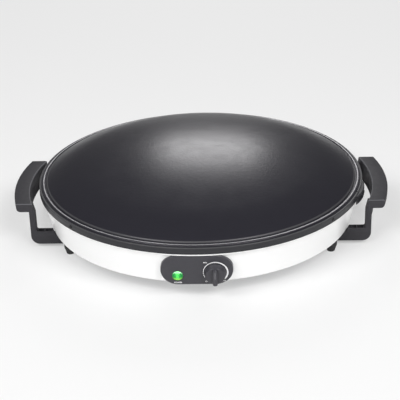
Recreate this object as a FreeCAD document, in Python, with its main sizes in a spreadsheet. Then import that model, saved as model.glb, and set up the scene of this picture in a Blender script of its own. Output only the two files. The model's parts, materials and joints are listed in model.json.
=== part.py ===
import FreeCAD, Part
import Sketcher
import math
import os

# A countertop cooker with a convex plate: a domed non-stick plate stands on a tapered painted base,
# a steel band clamps its edge, and two moulded handles reach under the base. Millimetres, +Z up,
# the origin on the table under the centre of the plate, the control panel facing -Y.

SIZES = {
    # Base: cover, shell and what stands under them
    "foot_height": 18.5,
    "foot_top_radius": 7.5,
    "foot_sole_radius": 4.8,
    "foot_taper": 9.0,
    "foot_inset": 11.6,
    "foot_gap": 7.5,
    "cover_sheet": 1.2,
    "cover_inset": 4.0,
    "vent_circle_share": 0.633,
    "vent_length": 42.0,
    "vent_width": 5.0,
    "vent_count": 12,
    "shell_height": 44.3,
    "shell_sheet": 1.2,
    "shell_flare": 10.6,
    "shell_top_margin": 0.2,
    "shell_edge_round": 2.0,
    "shell_flange_width": 20.0,
    "lip_height": 2.5,
    "lip_overhang": 1.9,
    "lip_round": 0.9,
    "ledge_width": 10.5,
    # Cooking plate
    "plate_edge_radius": 199.7,
    "plate_edge_height": 11.0,
    "plate_rise": 37.0,
    "plate_thickness": 5.5,
    "crown_reach_share": 0.7511,
    "crown_fall_share": 0.4741,
    "groove_slope": 0.8,
    "groove_width": 1.8,
    "groove_depth": 2.4,
    "bead_height": 9.9,
    "bead_slope": 0.8,
    "bead_width": 4.1,
    "bead_round": 1.5,
    "skirt_wall": 4.0,
    # Rim band and its clasp
    "band_gap": 0.3,
    "band_wall": 2.5,
    "band_height": 8.0,
    "band_round": 0.9,
    "band_split_angle": 0.6,
    "clasp_middle_angle": 14.5,
    "clasp_span_angle": 13.0,
    "clasp_thickness": 4.3,
    "clasp_end_thickness": 1.6,
    "clasp_drop": 4.0,
    "clasp_set_down": 1.2,
    "clasp_round": 1.0,
    "rim_screw_angle": 49.0,
    "rim_turn_angle": 2.1,
    "rim_screw_head_radius": 2.4,
    "rim_screw_head_height": 1.1,
    "rim_screw_radius": 1.4,
    # Heating element, its clamps and the reflector
    "element_circle_share": 0.576,
    "element_radius": 4.0,
    "element_gap_angle": 14.5,
    "element_bend": 14.0,
    "cold_end": 20.0,
    "land_half_width": 9.0,
    "land_drop": 3.4,
    "nest_gap": 0.15,
    "boss_gap": 7.5,
    "boss_radius": 5.0,
    "boss_count": 3,
    "stud_radius": 2.0,
    "stud_depth": 7.0,
    "stud_end": 1.2,
    "strap_sheet": 1.5,
    "strap_width": 14.0,
    "strap_margin": 2.0,
    "spacer_radius": 4.0,
    "spacer_length": 13.0,
    "reflector_share": 0.826,
    "reflector_sheet": 0.8,
    "reflector_rim": 6.0,
    "pin_hole_radius": 7.0,
    "nut_height": 3.0,
    "nut_radius": 4.2,
    "bulb_radius": 3.0,
    "bulb_span_angle": 34.0,
    "capillary_radius": 0.9,
    "capillary_bend": 9.0,
    # Handles
    "finger_gap": 12.5,
    "grip_width": 20.0,
    "grip_half_length": 68.0,
    "grip_thickness": 11.5,
    "grip_drop": 2.0,
    "grip_edge_round": 1.7,
    "grip_lower_round": 4.5,
    "grip_corner_round": 3.2,
    "guard_drop": 16.5,
    "guard_thickness": 3.0,
    "leg_gap": 7.8,
    "leg_thickness": 7.5,
    "arm_depth": 10.5,
    "arm_clearance": 5.0,
    "arm_rise": 4.5,
    "arm_corner_round": 11.0,
    "arm_inner_round": 2.0,
    "arm_end_margin": 9.0,
    "trough_wall": 2.0,
    "trough_floor": 3.0,
    "trough_rib": 1.6,
    "trough_rib_share": 0.5,
    "handle_screw_inset": 11.0,
    "handle_screw_head_radius": 3.4,
    "handle_screw_head_height": 2.6,
    "handle_screw_radius": 1.9,
    "handle_screw_sink": 8.0,
    "counterbore_gap": 0.5,
    # Screws of the base
    "cover_screw_inset": 13.0,
    "cover_screw_angle": 58.0,
    "small_screw_head_radius": 3.2,
    "small_screw_head_height": 2.2,
    "small_screw_radius": 1.7,
    "screw_reach": 5.0,
    "foot_screw_grip": 9.0,
    # Control panel, lamp, thermostat and knob
    "panel_half_width": 42.6,
    "panel_stand": 3.1,
    "panel_tilt_angle": 8.0,
    "panel_depth": 18.0,
    "panel_wall": 2.6,
    "panel_round": 1.3,
    "post_inset": 8.0,
    "post_lift_share": 0.55,
    "post_radius": 3.0,
    "control_depth": 16.0,
    "control_sheet": 1.2,
    "control_half_width": 38.0,
    "control_margin": 4.0,
    "lamp_reach": 22.7,
    "lamp_drop": 7.8,
    "lens_radius": 6.5,
    "lens_crown": 2.4,
    "lens_depth": 5.0,
    "lamp_radius": 4.6,
    "lamp_flange_radius": 6.2,
    "lamp_flange_height": 1.5,
    "lamp_length": 22.0,
    "knob_reach": 21.5,
    "knob_drop": 3.0,
    "knob_skirt_radius": 12.8,
    "knob_skirt_height": 3.2,
    "knob_body_radius": 11.4,
    "knob_body_height": 8.0,
    "knob_gap": 0.8,
    "knob_round": 0.8,
    "bar_half_width": 3.0,
    "bar_reach": 12.4,
    "bar_height": 3.6,
    "bar_round": 1.4,
    "spindle_radius": 3.0,
    "spindle_flat": 0.8,
    "spindle_hold": 7.5,
    "spindle_depth": 8.0,
    "bush_radius": 4.7,
    "thermostat_half_width": 15.5,
    "thermostat_depth": 18.0,
    "thermostat_round": 2.0,
    "tab_half_width": 2.4,
    "tab_thickness": 0.8,
    "tab_length": 7.0,
    "tab_reach": 8.0,
    # Wiring and the cord inlet
    "terminal_share": 0.791,
    "terminal_half_length": 32.0,
    "terminal_half_depth": 9.0,
    "terminal_height": 17.0,
    "terminal_pitch": 10.0,
    "terminal_screw_radius": 2.2,
    "terminal_screw_height": 0.8,
    "lead_radius": 1.3,
    "lead_bend": 9.0,
    "lead_lift": 8.5,
    "lead_run": 16.0,
    "inlet_flange_radius": 10.0,
    "inlet_flange_height": 3.0,
    "inlet_nose_radius": 7.6,
    "inlet_tip_radius": 6.4,
    "inlet_nose_length": 14.0,
    "inlet_thread_radius": 6.0,
    "inlet_thread_length": 9.0,
    "inlet_bore_radius": 4.2,
    "inlet_nut_radius": 9.0,
    "inlet_nut_height": 4.0,
    "inlet_nut_gap": 0.3,
    # Clearances
    "running_gap": 0.05,
    "seat_gap": 0.1,
    "hole_gap": 0.15,
    "piece_gap": 0.3,
    "cut_overrun": 1.0,
}

document = FreeCAD.newDocument("DomedCooker")
sheet = document.addObject("Spreadsheet::Sheet", "Sizes")
for row, (alias, number) in enumerate(SIZES.items(), start=1):
    sheet.set(f"A{row}", alias)
    sheet.set(f"B{row}", str(number))
    sheet.setAlias(f"B{row}", alias)
document.recompute()


# Sizes that know both their number and the sheet's words for it
class Size:
    def __init__(self, number, words):
        self.number = number
        self.words = words

    def __float__(self):
        return float(self.number)

    def __add__(self, other):
        return Size(float(self) + float(other), f"({self.words} + {words_of(other)})")

    def __sub__(self, other):
        return Size(float(self) - float(other), f"({self.words} - {words_of(other)})")

    def __mul__(self, other):
        return Size(float(self) * float(other), f"({self.words} * {words_of(other)})")

    def __truediv__(self, other):
        return Size(float(self) / float(other), f"({self.words} / {words_of(other)})")

    def __neg__(self):
        return Size(-float(self), f"(0 - {self.words})")


class SheetSizes:
    def __getattr__(self, alias):
        return Size(float(sheet.get(alias)), f"Sizes.{alias}")


def words_of(value):
    return value.words if isinstance(value, Size) else str(value)


def root(value):
    return Size(math.sqrt(float(value)), f"sqrt({value.words})")


def cosine(angle):
    return Size(math.cos(math.radians(float(angle))), f"cos({angle.words})")


def sine(angle):
    return Size(math.sin(math.radians(float(angle))), f"sin({angle.words})")


def chord(radius, offset):
    return root(radius * radius - offset * offset)


n = SheetSizes()

# Levels and radii that several pieces share
cover_top = n.foot_height + n.cover_sheet
shell_top = cover_top + n.shell_height
lip_foot = shell_top - n.lip_height
wall_height = n.shell_height - n.lip_height
wall_middle = cover_top + wall_height / 2
groove_start = n.plate_edge_radius + n.groove_slope
groove_finish = groove_start + n.groove_width
bead_start = groove_finish + n.bead_slope
skirt_radius = bead_start + n.bead_width
shell_top_radius = skirt_radius + n.shell_top_margin
shell_bottom_radius = shell_top_radius - n.shell_flare
lip_radius = shell_top_radius + n.lip_overhang
band_inner_radius = skirt_radius + n.band_gap
band_radius = band_inner_radius + n.band_wall
band_top = shell_top + n.band_height
plate_edge = shell_top + n.plate_edge_height
plate_top = plate_edge + n.plate_rise
crown_reach = n.plate_edge_radius * n.crown_reach_share
crown_fall = n.plate_rise * n.crown_fall_share
crown_radius = (crown_reach * crown_reach + crown_fall * crown_fall) / crown_fall / 2
crown_centre = plate_top - crown_radius
element_circle = n.plate_edge_radius * n.element_circle_share
land_inner = element_circle - n.land_half_width
land_outer = element_circle + n.land_half_width
boss_circle = land_inner - n.boss_gap - n.boss_radius
grip_top = shell_top - n.grip_drop
UPRIGHT = FreeCAD.Vector(0, 0, 1)
CROSSWISE = FreeCAD.Vector(1, 0, 0)
LENGTHWISE = FreeCAD.Vector(0, 1, 0)


def shell_radius_at(height):
    share = (height - cover_top) / (lip_foot - cover_top)
    return shell_bottom_radius + n.shell_flare * share


def inside_plate(radius):
    """The height half-way through the plate's crown at a radius."""
    return crown_centre + chord(crown_radius, radius) - n.plate_thickness / 2


element_height = inside_plate(land_outer) - n.plate_thickness / 2 - n.land_drop
strap_top = element_height - n.element_radius
reflector_top = strap_top - n.strap_sheet - n.spacer_length


# Small helpers for document objects
def bind(thing, name, value):
    thing.setExpression(name, value.words)


def vector(x, y, z):
    return FreeCAD.Vector(float(x), float(y), float(z))


def spot(x, y, z, axis=UPRIGHT, angle=0):
    return FreeCAD.Placement(vector(x, y, z), FreeCAD.Rotation(axis, float(angle)))


def new_body(label):
    body = document.addObject("PartDesign::Body", label)
    body.Label = label
    return body


def plane_of(body, role):
    return next(item for item in body.Origin.OriginFeatures if item.Role == role)


def new_sketch(body, name, role, lift=None):
    sketch = body.newObject("Sketcher::SketchObject", name)
    sketch.AttachmentSupport = [(plane_of(body, role), "")]
    sketch.MapMode = "FlatFace"
    if lift is not None:
        bind(sketch, "AttachmentOffset.Base.z", lift)
    return sketch


def pin(sketch, geometry, end, direction, value):
    """Hold a point of the sketch at a size from the origin, along X or Y."""
    if float(value) == 0:
        axis = -2 if direction == "DistanceX" else -1
        sketch.addConstraint(Sketcher.Constraint("PointOnObject", geometry, end, axis))
        return
    ends = (-1, 1, geometry, end) if float(value) > 0 else (geometry, end, -1, 1)
    length = value if float(value) > 0 else -value
    index = sketch.addConstraint(Sketcher.Constraint(direction, *ends, float(length)))
    bind(sketch, f"Constraints[{index}]", length)


def pin_both(sketch, geometry, end, x, y):
    pin(sketch, geometry, end, "DistanceX", x)
    pin(sketch, geometry, end, "DistanceY", y)


def outline(sketch, corners, bends=None):
    """Draw a closed outline; bends gives a side's arc as (radius, turn), no radius for a half circle."""
    bends = bends or {}
    first = sketch.GeometryCount
    points = [vector(x, y, 0) for x, y in corners]
    ends = []
    for side, start in enumerate(points):
        finish = points[(side + 1) % len(points)]
        if side not in bends:
            sketch.addGeometry(Part.LineSegment(start, finish), False)
            ends.append((1, 2))
            continue
        radius, turn = bends[side]
        half = (finish - start) * 0.5
        reach = half.Length if radius is None else float(radius)
        inward = FreeCAD.Vector(-half.y, half.x, 0).normalize()
        centre = start + half + inward * turn * math.sqrt(max(reach ** 2 - half.Length ** 2, 0))
        angles = [math.atan2(point.y - centre.y, point.x - centre.x) for point in (start, finish)]
        sketch.addGeometry(Part.ArcOfCircle(Part.Circle(centre, UPRIGHT, reach), *angles[::turn]), False)
        ends.append((1, 2) if turn > 0 else (2, 1))
    for side, (x, y) in enumerate(corners):
        following = (side + 1) % len(corners)
        sketch.addConstraint(Sketcher.Constraint(
            "Coincident", first + side, ends[side][1], first + following, ends[following][0]))
        pin_both(sketch, first + side, ends[side][0], x, y)
    for side, (radius, turn) in bends.items():
        if radius is None:
            x, y = corners[side]
            upright = points[side].x == points[(side + 1) % len(points)].x
            pin(sketch, first + side, 3, *(("DistanceX", x) if upright else ("DistanceY", y)))
            continue
        index = sketch.addConstraint(Sketcher.Constraint("Radius", first + side, float(radius)))
        bind(sketch, f"Constraints[{index}]", radius)


def rings(sketch, places, radius):
    for x, y in places:
        circle = sketch.addGeometry(Part.Circle(vector(x, y, 0), UPRIGHT, float(radius)), False)
        pin_both(sketch, circle, 3, x, y)
        index = sketch.addConstraint(Sketcher.Constraint("Radius", circle, float(radius)))
        bind(sketch, f"Constraints[{index}]", radius)


def rectangle(sketch, low_x, low_y, high_x, high_y):
    outline(sketch, [(low_x, low_y), (high_x, low_y), (high_x, high_y), (low_x, high_y)])


def pill(sketch, half_width, radius):
    straight = half_width - radius
    corners = [(-straight, -radius), (straight, -radius), (straight, radius), (-straight, radius)]
    outline(sketch, corners, {1: (None, 1), 3: (None, 1)})


def revolve(body, name, corners, bends=None, angle=None):
    sketch = new_sketch(body, f"{name}_profile", "XZ_Plane")
    outline(sketch, corners, bends)
    turned = body.newObject("PartDesign::Revolution", name)
    turned.Profile = sketch
    turned.ReferenceAxis = (sketch, ["V_Axis"])
    turned.Angle = 360
    if angle is not None:
        bind(turned, "Angle", angle)
    sketch.Visibility = False
    document.recompute()
    return turned


def pad(body, name, sketch, length, reverse=False):
    raised = body.newObject("PartDesign::Pad", name)
    raised.Profile = sketch
    bind(raised, "Length", length)
    raised.Reversed = reverse
    document.recompute()
    return raised


def pocket(body, name, sketch, depth, reverse=False):
    before = body.Shape.Volume
    cut = body.newObject("PartDesign::Pocket", name)
    cut.Profile = sketch
    bind(cut, "Length", depth)
    cut.Reversed = reverse
    document.recompute()
    if body.Shape.Volume >= before:
        raise RuntimeError(f"{body.Label}.{name} cuts nothing")
    return cut


def fillet(body, name, radius, test):
    base = body.Tip
    edges = [f"Edge{i}" for i, edge in enumerate(base.Shape.Edges, start=1) if test(edge)]
    if not edges:
        raise RuntimeError(f"{body.Label}.{name} finds no edge")
    rounded = body.newObject("PartDesign::Fillet", name)
    rounded.Base = (base, edges)
    bind(rounded, "Radius", radius)
    document.recompute()
    return rounded


def near(value, size):
    return abs(value - float(size)) < float(n.running_gap) / 2


def hoop(radius, height):
    def test(edge):
        curve = None if edge.Degenerated else edge.Curve
        return isinstance(curve, Part.Circle) and near(curve.Radius, radius) and near(curve.Center.z, height)
    return test


def level(height):
    def test(edge):
        return all(near(vertex.Z, height) for vertex in edge.Vertexes)
    return test


def rod(name, radius, length, place):
    piece = document.addObject("Part::Cylinder", name)
    bind(piece, "Radius", radius)
    bind(piece, "Height", length)
    piece.Placement = place
    return piece


def block(name, length, width, height, place):
    piece = document.addObject("Part::Box", name)
    bind(piece, "Length", length)
    bind(piece, "Width", width)
    bind(piece, "Height", height)
    piece.Placement = place
    return piece


def joined(name, pieces):
    whole = document.addObject("Part::MultiFuse", name)
    whole.Shapes = pieces
    return whole


def group(label, pieces):
    whole = document.addObject("Part::Compound", label)
    whole.Links = pieces
    whole.Label = label
    return whole


def drilled(label, base, drills):
    if base.Label == label:
        base.Label = f"{label}_blank"
    holed = document.addObject("Part::Cut", label)
    holed.Base = base
    holed.Tool = group(f"{label}_drills", drills)
    holed.Label = label
    return holed


def screw(name, head_radius, head_height, radius, length, place):
    """A pan-head screw: its head stands on the local plane z = 0 and its shank points to -z."""
    head = rod(f"{name}_head", head_radius, head_height, FreeCAD.Placement())
    shank = rod(f"{name}_shank", radius, length, spot(0, 0, -length))
    whole = joined(name, [head, shank])
    whole.Placement = place
    return whole


def tube(label, points, radius, bend):
    """A round wire along straight runs joined by tangent arcs of one bend radius."""
    edges = []
    start = points[0]
    for before, corner, after in zip(points, points[1:], points[2:]):
        inward = (before - corner).normalize()
        outward = (after - corner).normalize()
        turn = math.pi - inward.getAngle(outward)
        trim = float(bend) * math.tan(turn / 2)
        bisector = (inward + outward).normalize()
        middle = corner + bisector * float(bend) * (1 / math.cos(turn / 2) - 1)
        edges.append(Part.LineSegment(start, corner + inward * trim).toShape())
        start = corner + outward * trim
        edges.append(Part.Arc(corner + inward * trim, middle, start).toShape())
    edges.append(Part.LineSegment(start, points[-1]).toShape())
    section = Part.Circle(points[0], points[1] - points[0], float(radius)).toShape()
    piece = document.addObject("Part::Feature", label)
    piece.Shape = Part.Wire(edges).makePipeShell([Part.Wire([section])], True, False)
    piece.Label = label
    return piece


def corner_places(x, y):
    return [(x, -y), (x, y), (-x, y), (-x, -y)]


# Base shell: drawn steel sheet, painted, with a ledge for the plate and a flange for the cover
shell_floor = cover_top + n.shell_sheet
shell_inner_bottom = shell_radius_at(shell_floor) - n.shell_sheet
shell_inner_top = shell_top_radius - n.shell_sheet
flange_radius = shell_bottom_radius - n.shell_flange_width
ledge_radius = lip_radius - n.ledge_width
shell_body = new_body("base_shell")
revolve(shell_body, "shell", [
    (flange_radius, cover_top),
    (shell_bottom_radius, cover_top),
    (shell_top_radius, lip_foot),
    (lip_radius, lip_foot),
    (lip_radius, shell_top),
    (ledge_radius, shell_top),
    (ledge_radius, shell_top - n.shell_sheet),
    (shell_inner_top, shell_top - n.shell_sheet),
    (shell_inner_top, lip_foot),
    (shell_inner_bottom, shell_floor),
    (flange_radius, shell_floor),
])
fillet(shell_body, "bottom_edge", n.shell_edge_round, hoop(shell_bottom_radius, cover_top))
fillet(shell_body, "bottom_edge_inside", n.shell_edge_round - n.shell_sheet,
       hoop(shell_inner_bottom, shell_floor))
fillet(shell_body, "lip_lower_edge", n.lip_round, hoop(lip_radius, lip_foot))
fillet(shell_body, "lip_upper_edge", n.lip_round, hoop(lip_radius, shell_top))

# The shell's outside as a solid, for what is shaped to lie against it
envelope = new_body("shell_outside")
revolve(envelope, "outside", [
    (0, cover_top),
    (shell_bottom_radius + n.seat_gap, cover_top),
    (shell_top_radius + n.seat_gap, lip_foot - n.seat_gap),
    (lip_radius + n.seat_gap, lip_foot - n.seat_gap),
    (lip_radius + n.seat_gap, band_top),
    (0, band_top),
])

# Bottom cover: a flat sheet disc with rings of vent slots
cover_radius = shell_bottom_radius - n.cover_inset
cover_body = new_body("bottom_cover")
cover_sketch = new_sketch(cover_body, "cover_disc", "XY_Plane", n.foot_height)
rings(cover_sketch, [(0, 0)], cover_radius)
pad(cover_body, "disc", cover_sketch, n.cover_sheet)
vent_sketch = new_sketch(cover_body, "vent_outline", "XY_Plane", cover_top)
vent_circle = cover_radius * n.vent_circle_share
vent_start = vent_circle - n.vent_length / 2
vent_finish = vent_circle + n.vent_length / 2
vent_half = n.vent_width / 2
outline(vent_sketch, [
    (vent_start, -vent_half),
    (vent_finish, -vent_half),
    (vent_finish, vent_half),
    (vent_start, vent_half),
], {1: (None, 1), 3: (None, 1)})
vent = pocket(cover_body, "vent", vent_sketch, n.cover_sheet + n.cut_overrun)
vents = cover_body.newObject("PartDesign::PolarPattern", "vents")
vents.Originals = [vent]
vents.Axis = (vent_sketch, ["N_Axis"])
vents.Angle = 360
bind(vents, "Occurrences", n.vent_count)
cover_body.Tip = vents
document.recompute()

# Cooking plate: cast dome of two tangent arcs, with a drip groove, a beaded edge and a skirt
plate_groove = plate_edge - n.groove_depth
plate_bead = shell_top + n.bead_height
skirt_inner = skirt_radius - n.skirt_wall
crown_foot = plate_top - crown_fall
shoulder_run = n.plate_edge_radius - crown_reach
shoulder_fall = crown_foot - plate_edge
shoulder_reach = shoulder_run * shoulder_run + shoulder_fall * shoulder_fall
crown_slope = (crown_foot - crown_centre) * shoulder_fall - crown_reach * shoulder_run
shoulder_radius = crown_radius * shoulder_reach / crown_slope / 2
plate_body = new_body("cooking_plate")
revolve(plate_body, "dome", [
    (0, plate_top),
    (crown_reach, crown_foot),
    (n.plate_edge_radius, plate_edge),
    (groove_start, plate_groove),
    (groove_finish, plate_groove),
    (bead_start, plate_bead),
    (skirt_radius, plate_bead),
    (skirt_radius, shell_top),
    (skirt_inner, shell_top),
    (skirt_inner, plate_edge - n.plate_thickness),
    (n.plate_edge_radius, plate_edge - n.plate_thickness),
    (crown_reach, crown_foot - n.plate_thickness),
    (0, plate_top - n.plate_thickness),
], {
    0: (crown_radius, -1),
    1: (shoulder_radius, -1),
    10: (shoulder_radius, 1),
    11: (crown_radius, 1),
})
fillet(plate_body, "bead_edge", n.bead_round, hoop(skirt_radius, plate_bead))

# Under the plate: a ring-shaped land that nests the element, and the bosses of its clamps
revolve(plate_body, "land", [
    (land_inner, element_height),
    (land_outer, element_height),
    (land_outer, inside_plate(land_outer)),
    (land_inner, inside_plate(land_inner)),
])
boss_angles = [90 + (turn + 0.5) * 360 / SIZES["boss_count"] for turn in range(SIZES["boss_count"])]
boss_sketch = new_sketch(plate_body, "boss_outlines", "XY_Plane", strap_top)
rings(boss_sketch, [(0, -boss_circle)], n.boss_radius)
boss = pad(plate_body, "boss", boss_sketch, inside_plate(boss_circle) - strap_top)
stud_sketch = new_sketch(plate_body, "stud_hole_outline", "XY_Plane", strap_top)
rings(stud_sketch, [(0, -boss_circle)], n.stud_radius + n.running_gap)
stud_hole = pocket(plate_body, "stud_hole", stud_sketch, n.stud_depth, True)
bosses = plate_body.newObject("PartDesign::PolarPattern", "bosses")
bosses.Originals = [boss, stud_hole]
bosses.Axis = (boss_sketch, ["N_Axis"])
bosses.Angle = 360
bind(bosses, "Occurrences", n.boss_count)
plate_body.Tip = bosses
document.recompute()
nest = document.addObject("Part::Torus", "element_nest")
bind(nest, "Radius1", element_circle)
bind(nest, "Radius2", n.element_radius + n.nest_gap)
nest.Placement = spot(0, 0, element_height)

# Rim band: a steel strip round the plate's skirt, split behind the clasp
band_body = new_body("rim_band")
revolve(band_body, "strip", [
    (band_inner_radius, shell_top),
    (band_radius, shell_top),
    (band_radius, band_top),
    (band_inner_radius, band_top),
], angle=n.band_split_angle * -1 + 360)
fillet(band_body, "strip_edge", n.band_round, hoop(band_radius, band_top))
band_end_angle = n.clasp_middle_angle + n.clasp_span_angle / 4
band_body.Placement = spot(0, 0, 0, UPRIGHT, -band_end_angle + n.band_split_angle / 2)

# Clasp: a bowed block that draws the two ends of the band together, on the right
clasp_foot = shell_top - n.clasp_drop
clasp_top = band_top - n.clasp_set_down
clasp_radius = band_radius + n.clasp_thickness
clasp_inner_radius = band_radius + n.seat_gap
clasp_end_radius = clasp_inner_radius + n.clasp_end_thickness
clasp_end = clasp_end_radius * cosine(n.clasp_span_angle / 2)
clasp_half_width = clasp_end_radius * sine(n.clasp_span_angle / 2)
clasp_back_end = clasp_inner_radius * cosine(n.clasp_span_angle / 2)
clasp_back_half_width = clasp_inner_radius * sine(n.clasp_span_angle / 2)
clasp_bow = clasp_radius - clasp_end
clasp_bow_radius = (clasp_half_width * clasp_half_width + clasp_bow * clasp_bow) / (clasp_bow * 2)
clasp_body = new_body("band_clasp")
clasp_sketch = new_sketch(clasp_body, "clasp_outline", "XY_Plane", clasp_foot)
outline(clasp_sketch, [
    (clasp_back_end, -clasp_back_half_width),
    (clasp_end, -clasp_half_width),
    (clasp_end, clasp_half_width),
    (clasp_back_end, clasp_back_half_width),
], {1: (clasp_bow_radius, 1), 3: (clasp_inner_radius, -1)})
pad(clasp_body, "clasp_block", clasp_sketch, clasp_top - clasp_foot)


def clasp_face_edge(edge):
    return isinstance(edge.Curve, Part.Circle) and near(edge.Curve.Radius, clasp_bow_radius)


fillet(clasp_body, "clasp_edges", n.clasp_round, clasp_face_edge)
clasp_body.Placement = spot(0, 0, 0, UPRIGHT, -n.clasp_middle_angle)
clasp_level = (shell_top + clasp_top) / 2


def radial_spot(angle, radius, height):
    turn = FreeCAD.Rotation(UPRIGHT, float(angle)).multiply(FreeCAD.Rotation(LENGTHWISE, 90))
    return FreeCAD.Placement(turn.multVec(vector(0, 0, radius)) + vector(0, 0, height), turn)


clasp_reach = clasp_radius - band_inner_radius
clasp_screw_place = radial_spot(-n.clasp_middle_angle, clasp_radius, clasp_level)
clasp_screw = screw("clasp_screw", n.rim_screw_head_radius, n.rim_screw_head_height,
                    n.rim_screw_radius, clasp_reach, clasp_screw_place)


def drill(name, radius, depth, place):
    """A cutter for a screw: it starts just outside the local plane z = 0 and goes down its depth."""
    inner = place.multiply(spot(0, 0, -depth))
    return rod(name, radius + n.running_gap, depth + n.cut_overrun, inner)


clasp_drill = drill("clasp_drill", n.rim_screw_radius, clasp_reach, clasp_screw_place)
band_clasp = drilled("band_clasp", clasp_body, [clasp_drill])

# Screws through the band into the plate's skirt
rim_level = (shell_top + band_top) / 2
rim_angles = []
for half_turn in (0, 180):
    for side in (-1, 1):
        rim_angles.append(n.rim_turn_angle + half_turn + (-n.rim_screw_angle + 90) * side)
rim_places = [radial_spot(angle, band_radius, rim_level) for angle in rim_angles]
rim_reach = n.band_wall + n.band_gap + n.skirt_wall / 2
group("rim_screws", [
    screw(f"rim_screw_{i}", n.rim_screw_head_radius, n.rim_screw_head_height,
          n.rim_screw_radius, rim_reach, place)
    for i, place in enumerate(rim_places)
])


def rim_drills(name):
    return [drill(f"{name}_{i}", n.rim_screw_radius, rim_reach, place) for i, place in enumerate(rim_places)]


rim_band = drilled("rim_band", band_body, rim_drills("band_drill") + [
    drill("band_clasp_drill", n.rim_screw_radius, clasp_reach + n.cut_overrun, clasp_screw_place)])
cooking_plate = drilled("cooking_plate", plate_body, rim_drills("skirt_drill") + [nest])

# Heating element: one turn of sheathed tube whose two cold ends turn down at the rear
def ring_point(angle):
    turn = math.radians(angle)
    return vector(0, 0, element_height) + vector(math.cos(turn), math.sin(turn), 0) * float(element_circle)


def cold_end_edges(angle, way):
    """The bend and the straight end of the tube, from the ring downwards; way is +1 or -1 along it."""
    turn = math.radians(angle)
    along = FreeCAD.Vector(-math.sin(turn), math.cos(turn), 0) * way * float(n.element_bend)
    down = vector(0, 0, -n.element_bend)
    start = ring_point(angle)
    half = math.sqrt(0.5)
    middle = start + along * half + down * (1 - half)
    finish = start + along + down
    bend = Part.Arc(start, middle, finish).toShape()
    end = Part.LineSegment(finish, finish + vector(0, 0, -n.cold_end)).toShape()
    return [bend, end], finish


gap = SIZES["element_gap_angle"]
last_edges, last_pin = cold_end_edges(90 - gap, 1)
first_edges, first_pin = cold_end_edges(90 + gap, -1)
element_ring = Part.Arc(ring_point(90 + gap), ring_point(270), ring_point(90 - gap)).toShape()
element_path = Part.Wire(first_edges[::-1] + [element_ring] + last_edges)
pin_foot = element_height - n.element_bend - n.cold_end
element_section = Part.Circle(vector(first_pin.x, first_pin.y, pin_foot), UPRIGHT, float(n.element_radius))
heating_element = document.addObject("Part::Feature", "heating_element")
heating_element.Shape = element_path.makePipeShell([Part.Wire([element_section.toShape()])], True, False)

# Element clamps: straps on studs that also carry the reflector on spacers
strap_start = boss_circle - n.boss_radius - n.strap_margin
strap_length = land_outer - strap_start
straps = []
studs = []
spacers = []
stud_nuts = []
reflector_foot = reflector_top - n.reflector_sheet
nut_foot = reflector_foot - n.nut_height
stud_length = strap_top + n.stud_depth - nut_foot + n.stud_end
for i, angle in enumerate(boss_angles):
    turn = spot(0, 0, 0, UPRIGHT, angle)
    strap = block(f"strap_{i}", strap_length, n.strap_width, n.strap_sheet,
                  turn.multiply(spot(strap_start, -n.strap_width / 2, strap_top - n.strap_sheet)))
    straps.append(drilled(f"strap_drilled_{i}", strap, [
        rod(f"strap_drill_{i}", n.stud_radius + n.running_gap, n.strap_sheet + n.cut_overrun * 2,
            turn.multiply(spot(boss_circle, 0, strap_top - n.strap_sheet - n.cut_overrun)))]))
    studs.append(rod(f"stud_{i}", n.stud_radius, stud_length,
                     turn.multiply(spot(boss_circle, 0, nut_foot - n.stud_end))))
    sleeve = rod(f"sleeve_{i}", n.spacer_radius, n.spacer_length,
                 turn.multiply(spot(boss_circle, 0, reflector_top)))
    spacers.append(drilled(f"spacer_{i}", sleeve, [
        rod(f"sleeve_drill_{i}", n.stud_radius + n.running_gap, n.spacer_length + n.cut_overrun * 2,
            turn.multiply(spot(boss_circle, 0, reflector_top - n.cut_overrun)))]))
    nut = document.addObject("Part::Prism", f"nut_{i}")
    nut.Polygon = 6
    bind(nut, "Circumradius", n.nut_radius)
    bind(nut, "Height", n.nut_height)
    nut.Placement = turn.multiply(spot(boss_circle, 0, nut_foot))
    stud_nuts.append(drilled(f"nut_drilled_{i}", nut, [
        rod(f"nut_drill_{i}", n.stud_radius + n.running_gap, n.nut_height + n.cut_overrun * 2,
            turn.multiply(spot(boss_circle, 0, nut_foot - n.cut_overrun)))]))
group("element_clamps", straps)
group("clamp_studs", studs)
group("reflector_spacers", spacers)
group("stud_nuts", stud_nuts)

# Sensor bulb: lies on the front strap, just inside the element
bulb_circle = land_inner - n.piece_gap - n.bulb_radius
sensor_bulb = document.addObject("Part::Torus", "sensor_bulb")
bind(sensor_bulb, "Radius1", bulb_circle)
bind(sensor_bulb, "Radius2", n.bulb_radius)
bind(sensor_bulb, "Angle3", n.bulb_span_angle)
bulb_height = strap_top + n.bulb_radius
bulb_start_angle = 270 - SIZES["bulb_span_angle"] / 2
sensor_bulb.Placement = spot(0, 0, bulb_height, UPRIGHT, bulb_start_angle)
bulb_end_turn = math.radians(bulb_start_angle + SIZES["bulb_span_angle"])
bulb_end = vector(math.cos(bulb_end_turn), math.sin(bulb_end_turn), 0) * float(bulb_circle)
bulb_end = bulb_end + vector(0, 0, bulb_height)
bulb_way = FreeCAD.Vector(-math.sin(bulb_end_turn), math.cos(bulb_end_turn), 0)

# Control panel frame: local z points out of the panel's face, local y up along it
panel_reach = shell_radius_at(wall_middle) + n.panel_stand
panel_frame = spot(0, -panel_reach, wall_middle, CROSSWISE, n.panel_tilt_angle + 90)
panel_end_radius = wall_height / 2
post_reach = n.panel_half_width - n.post_inset
post_lift = panel_end_radius * n.post_lift_share
post_places = [(-post_reach, post_lift), (post_reach, post_lift)]


def on_panel(x, y, z):
    return panel_frame.multiply(spot(x, y, z))


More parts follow.
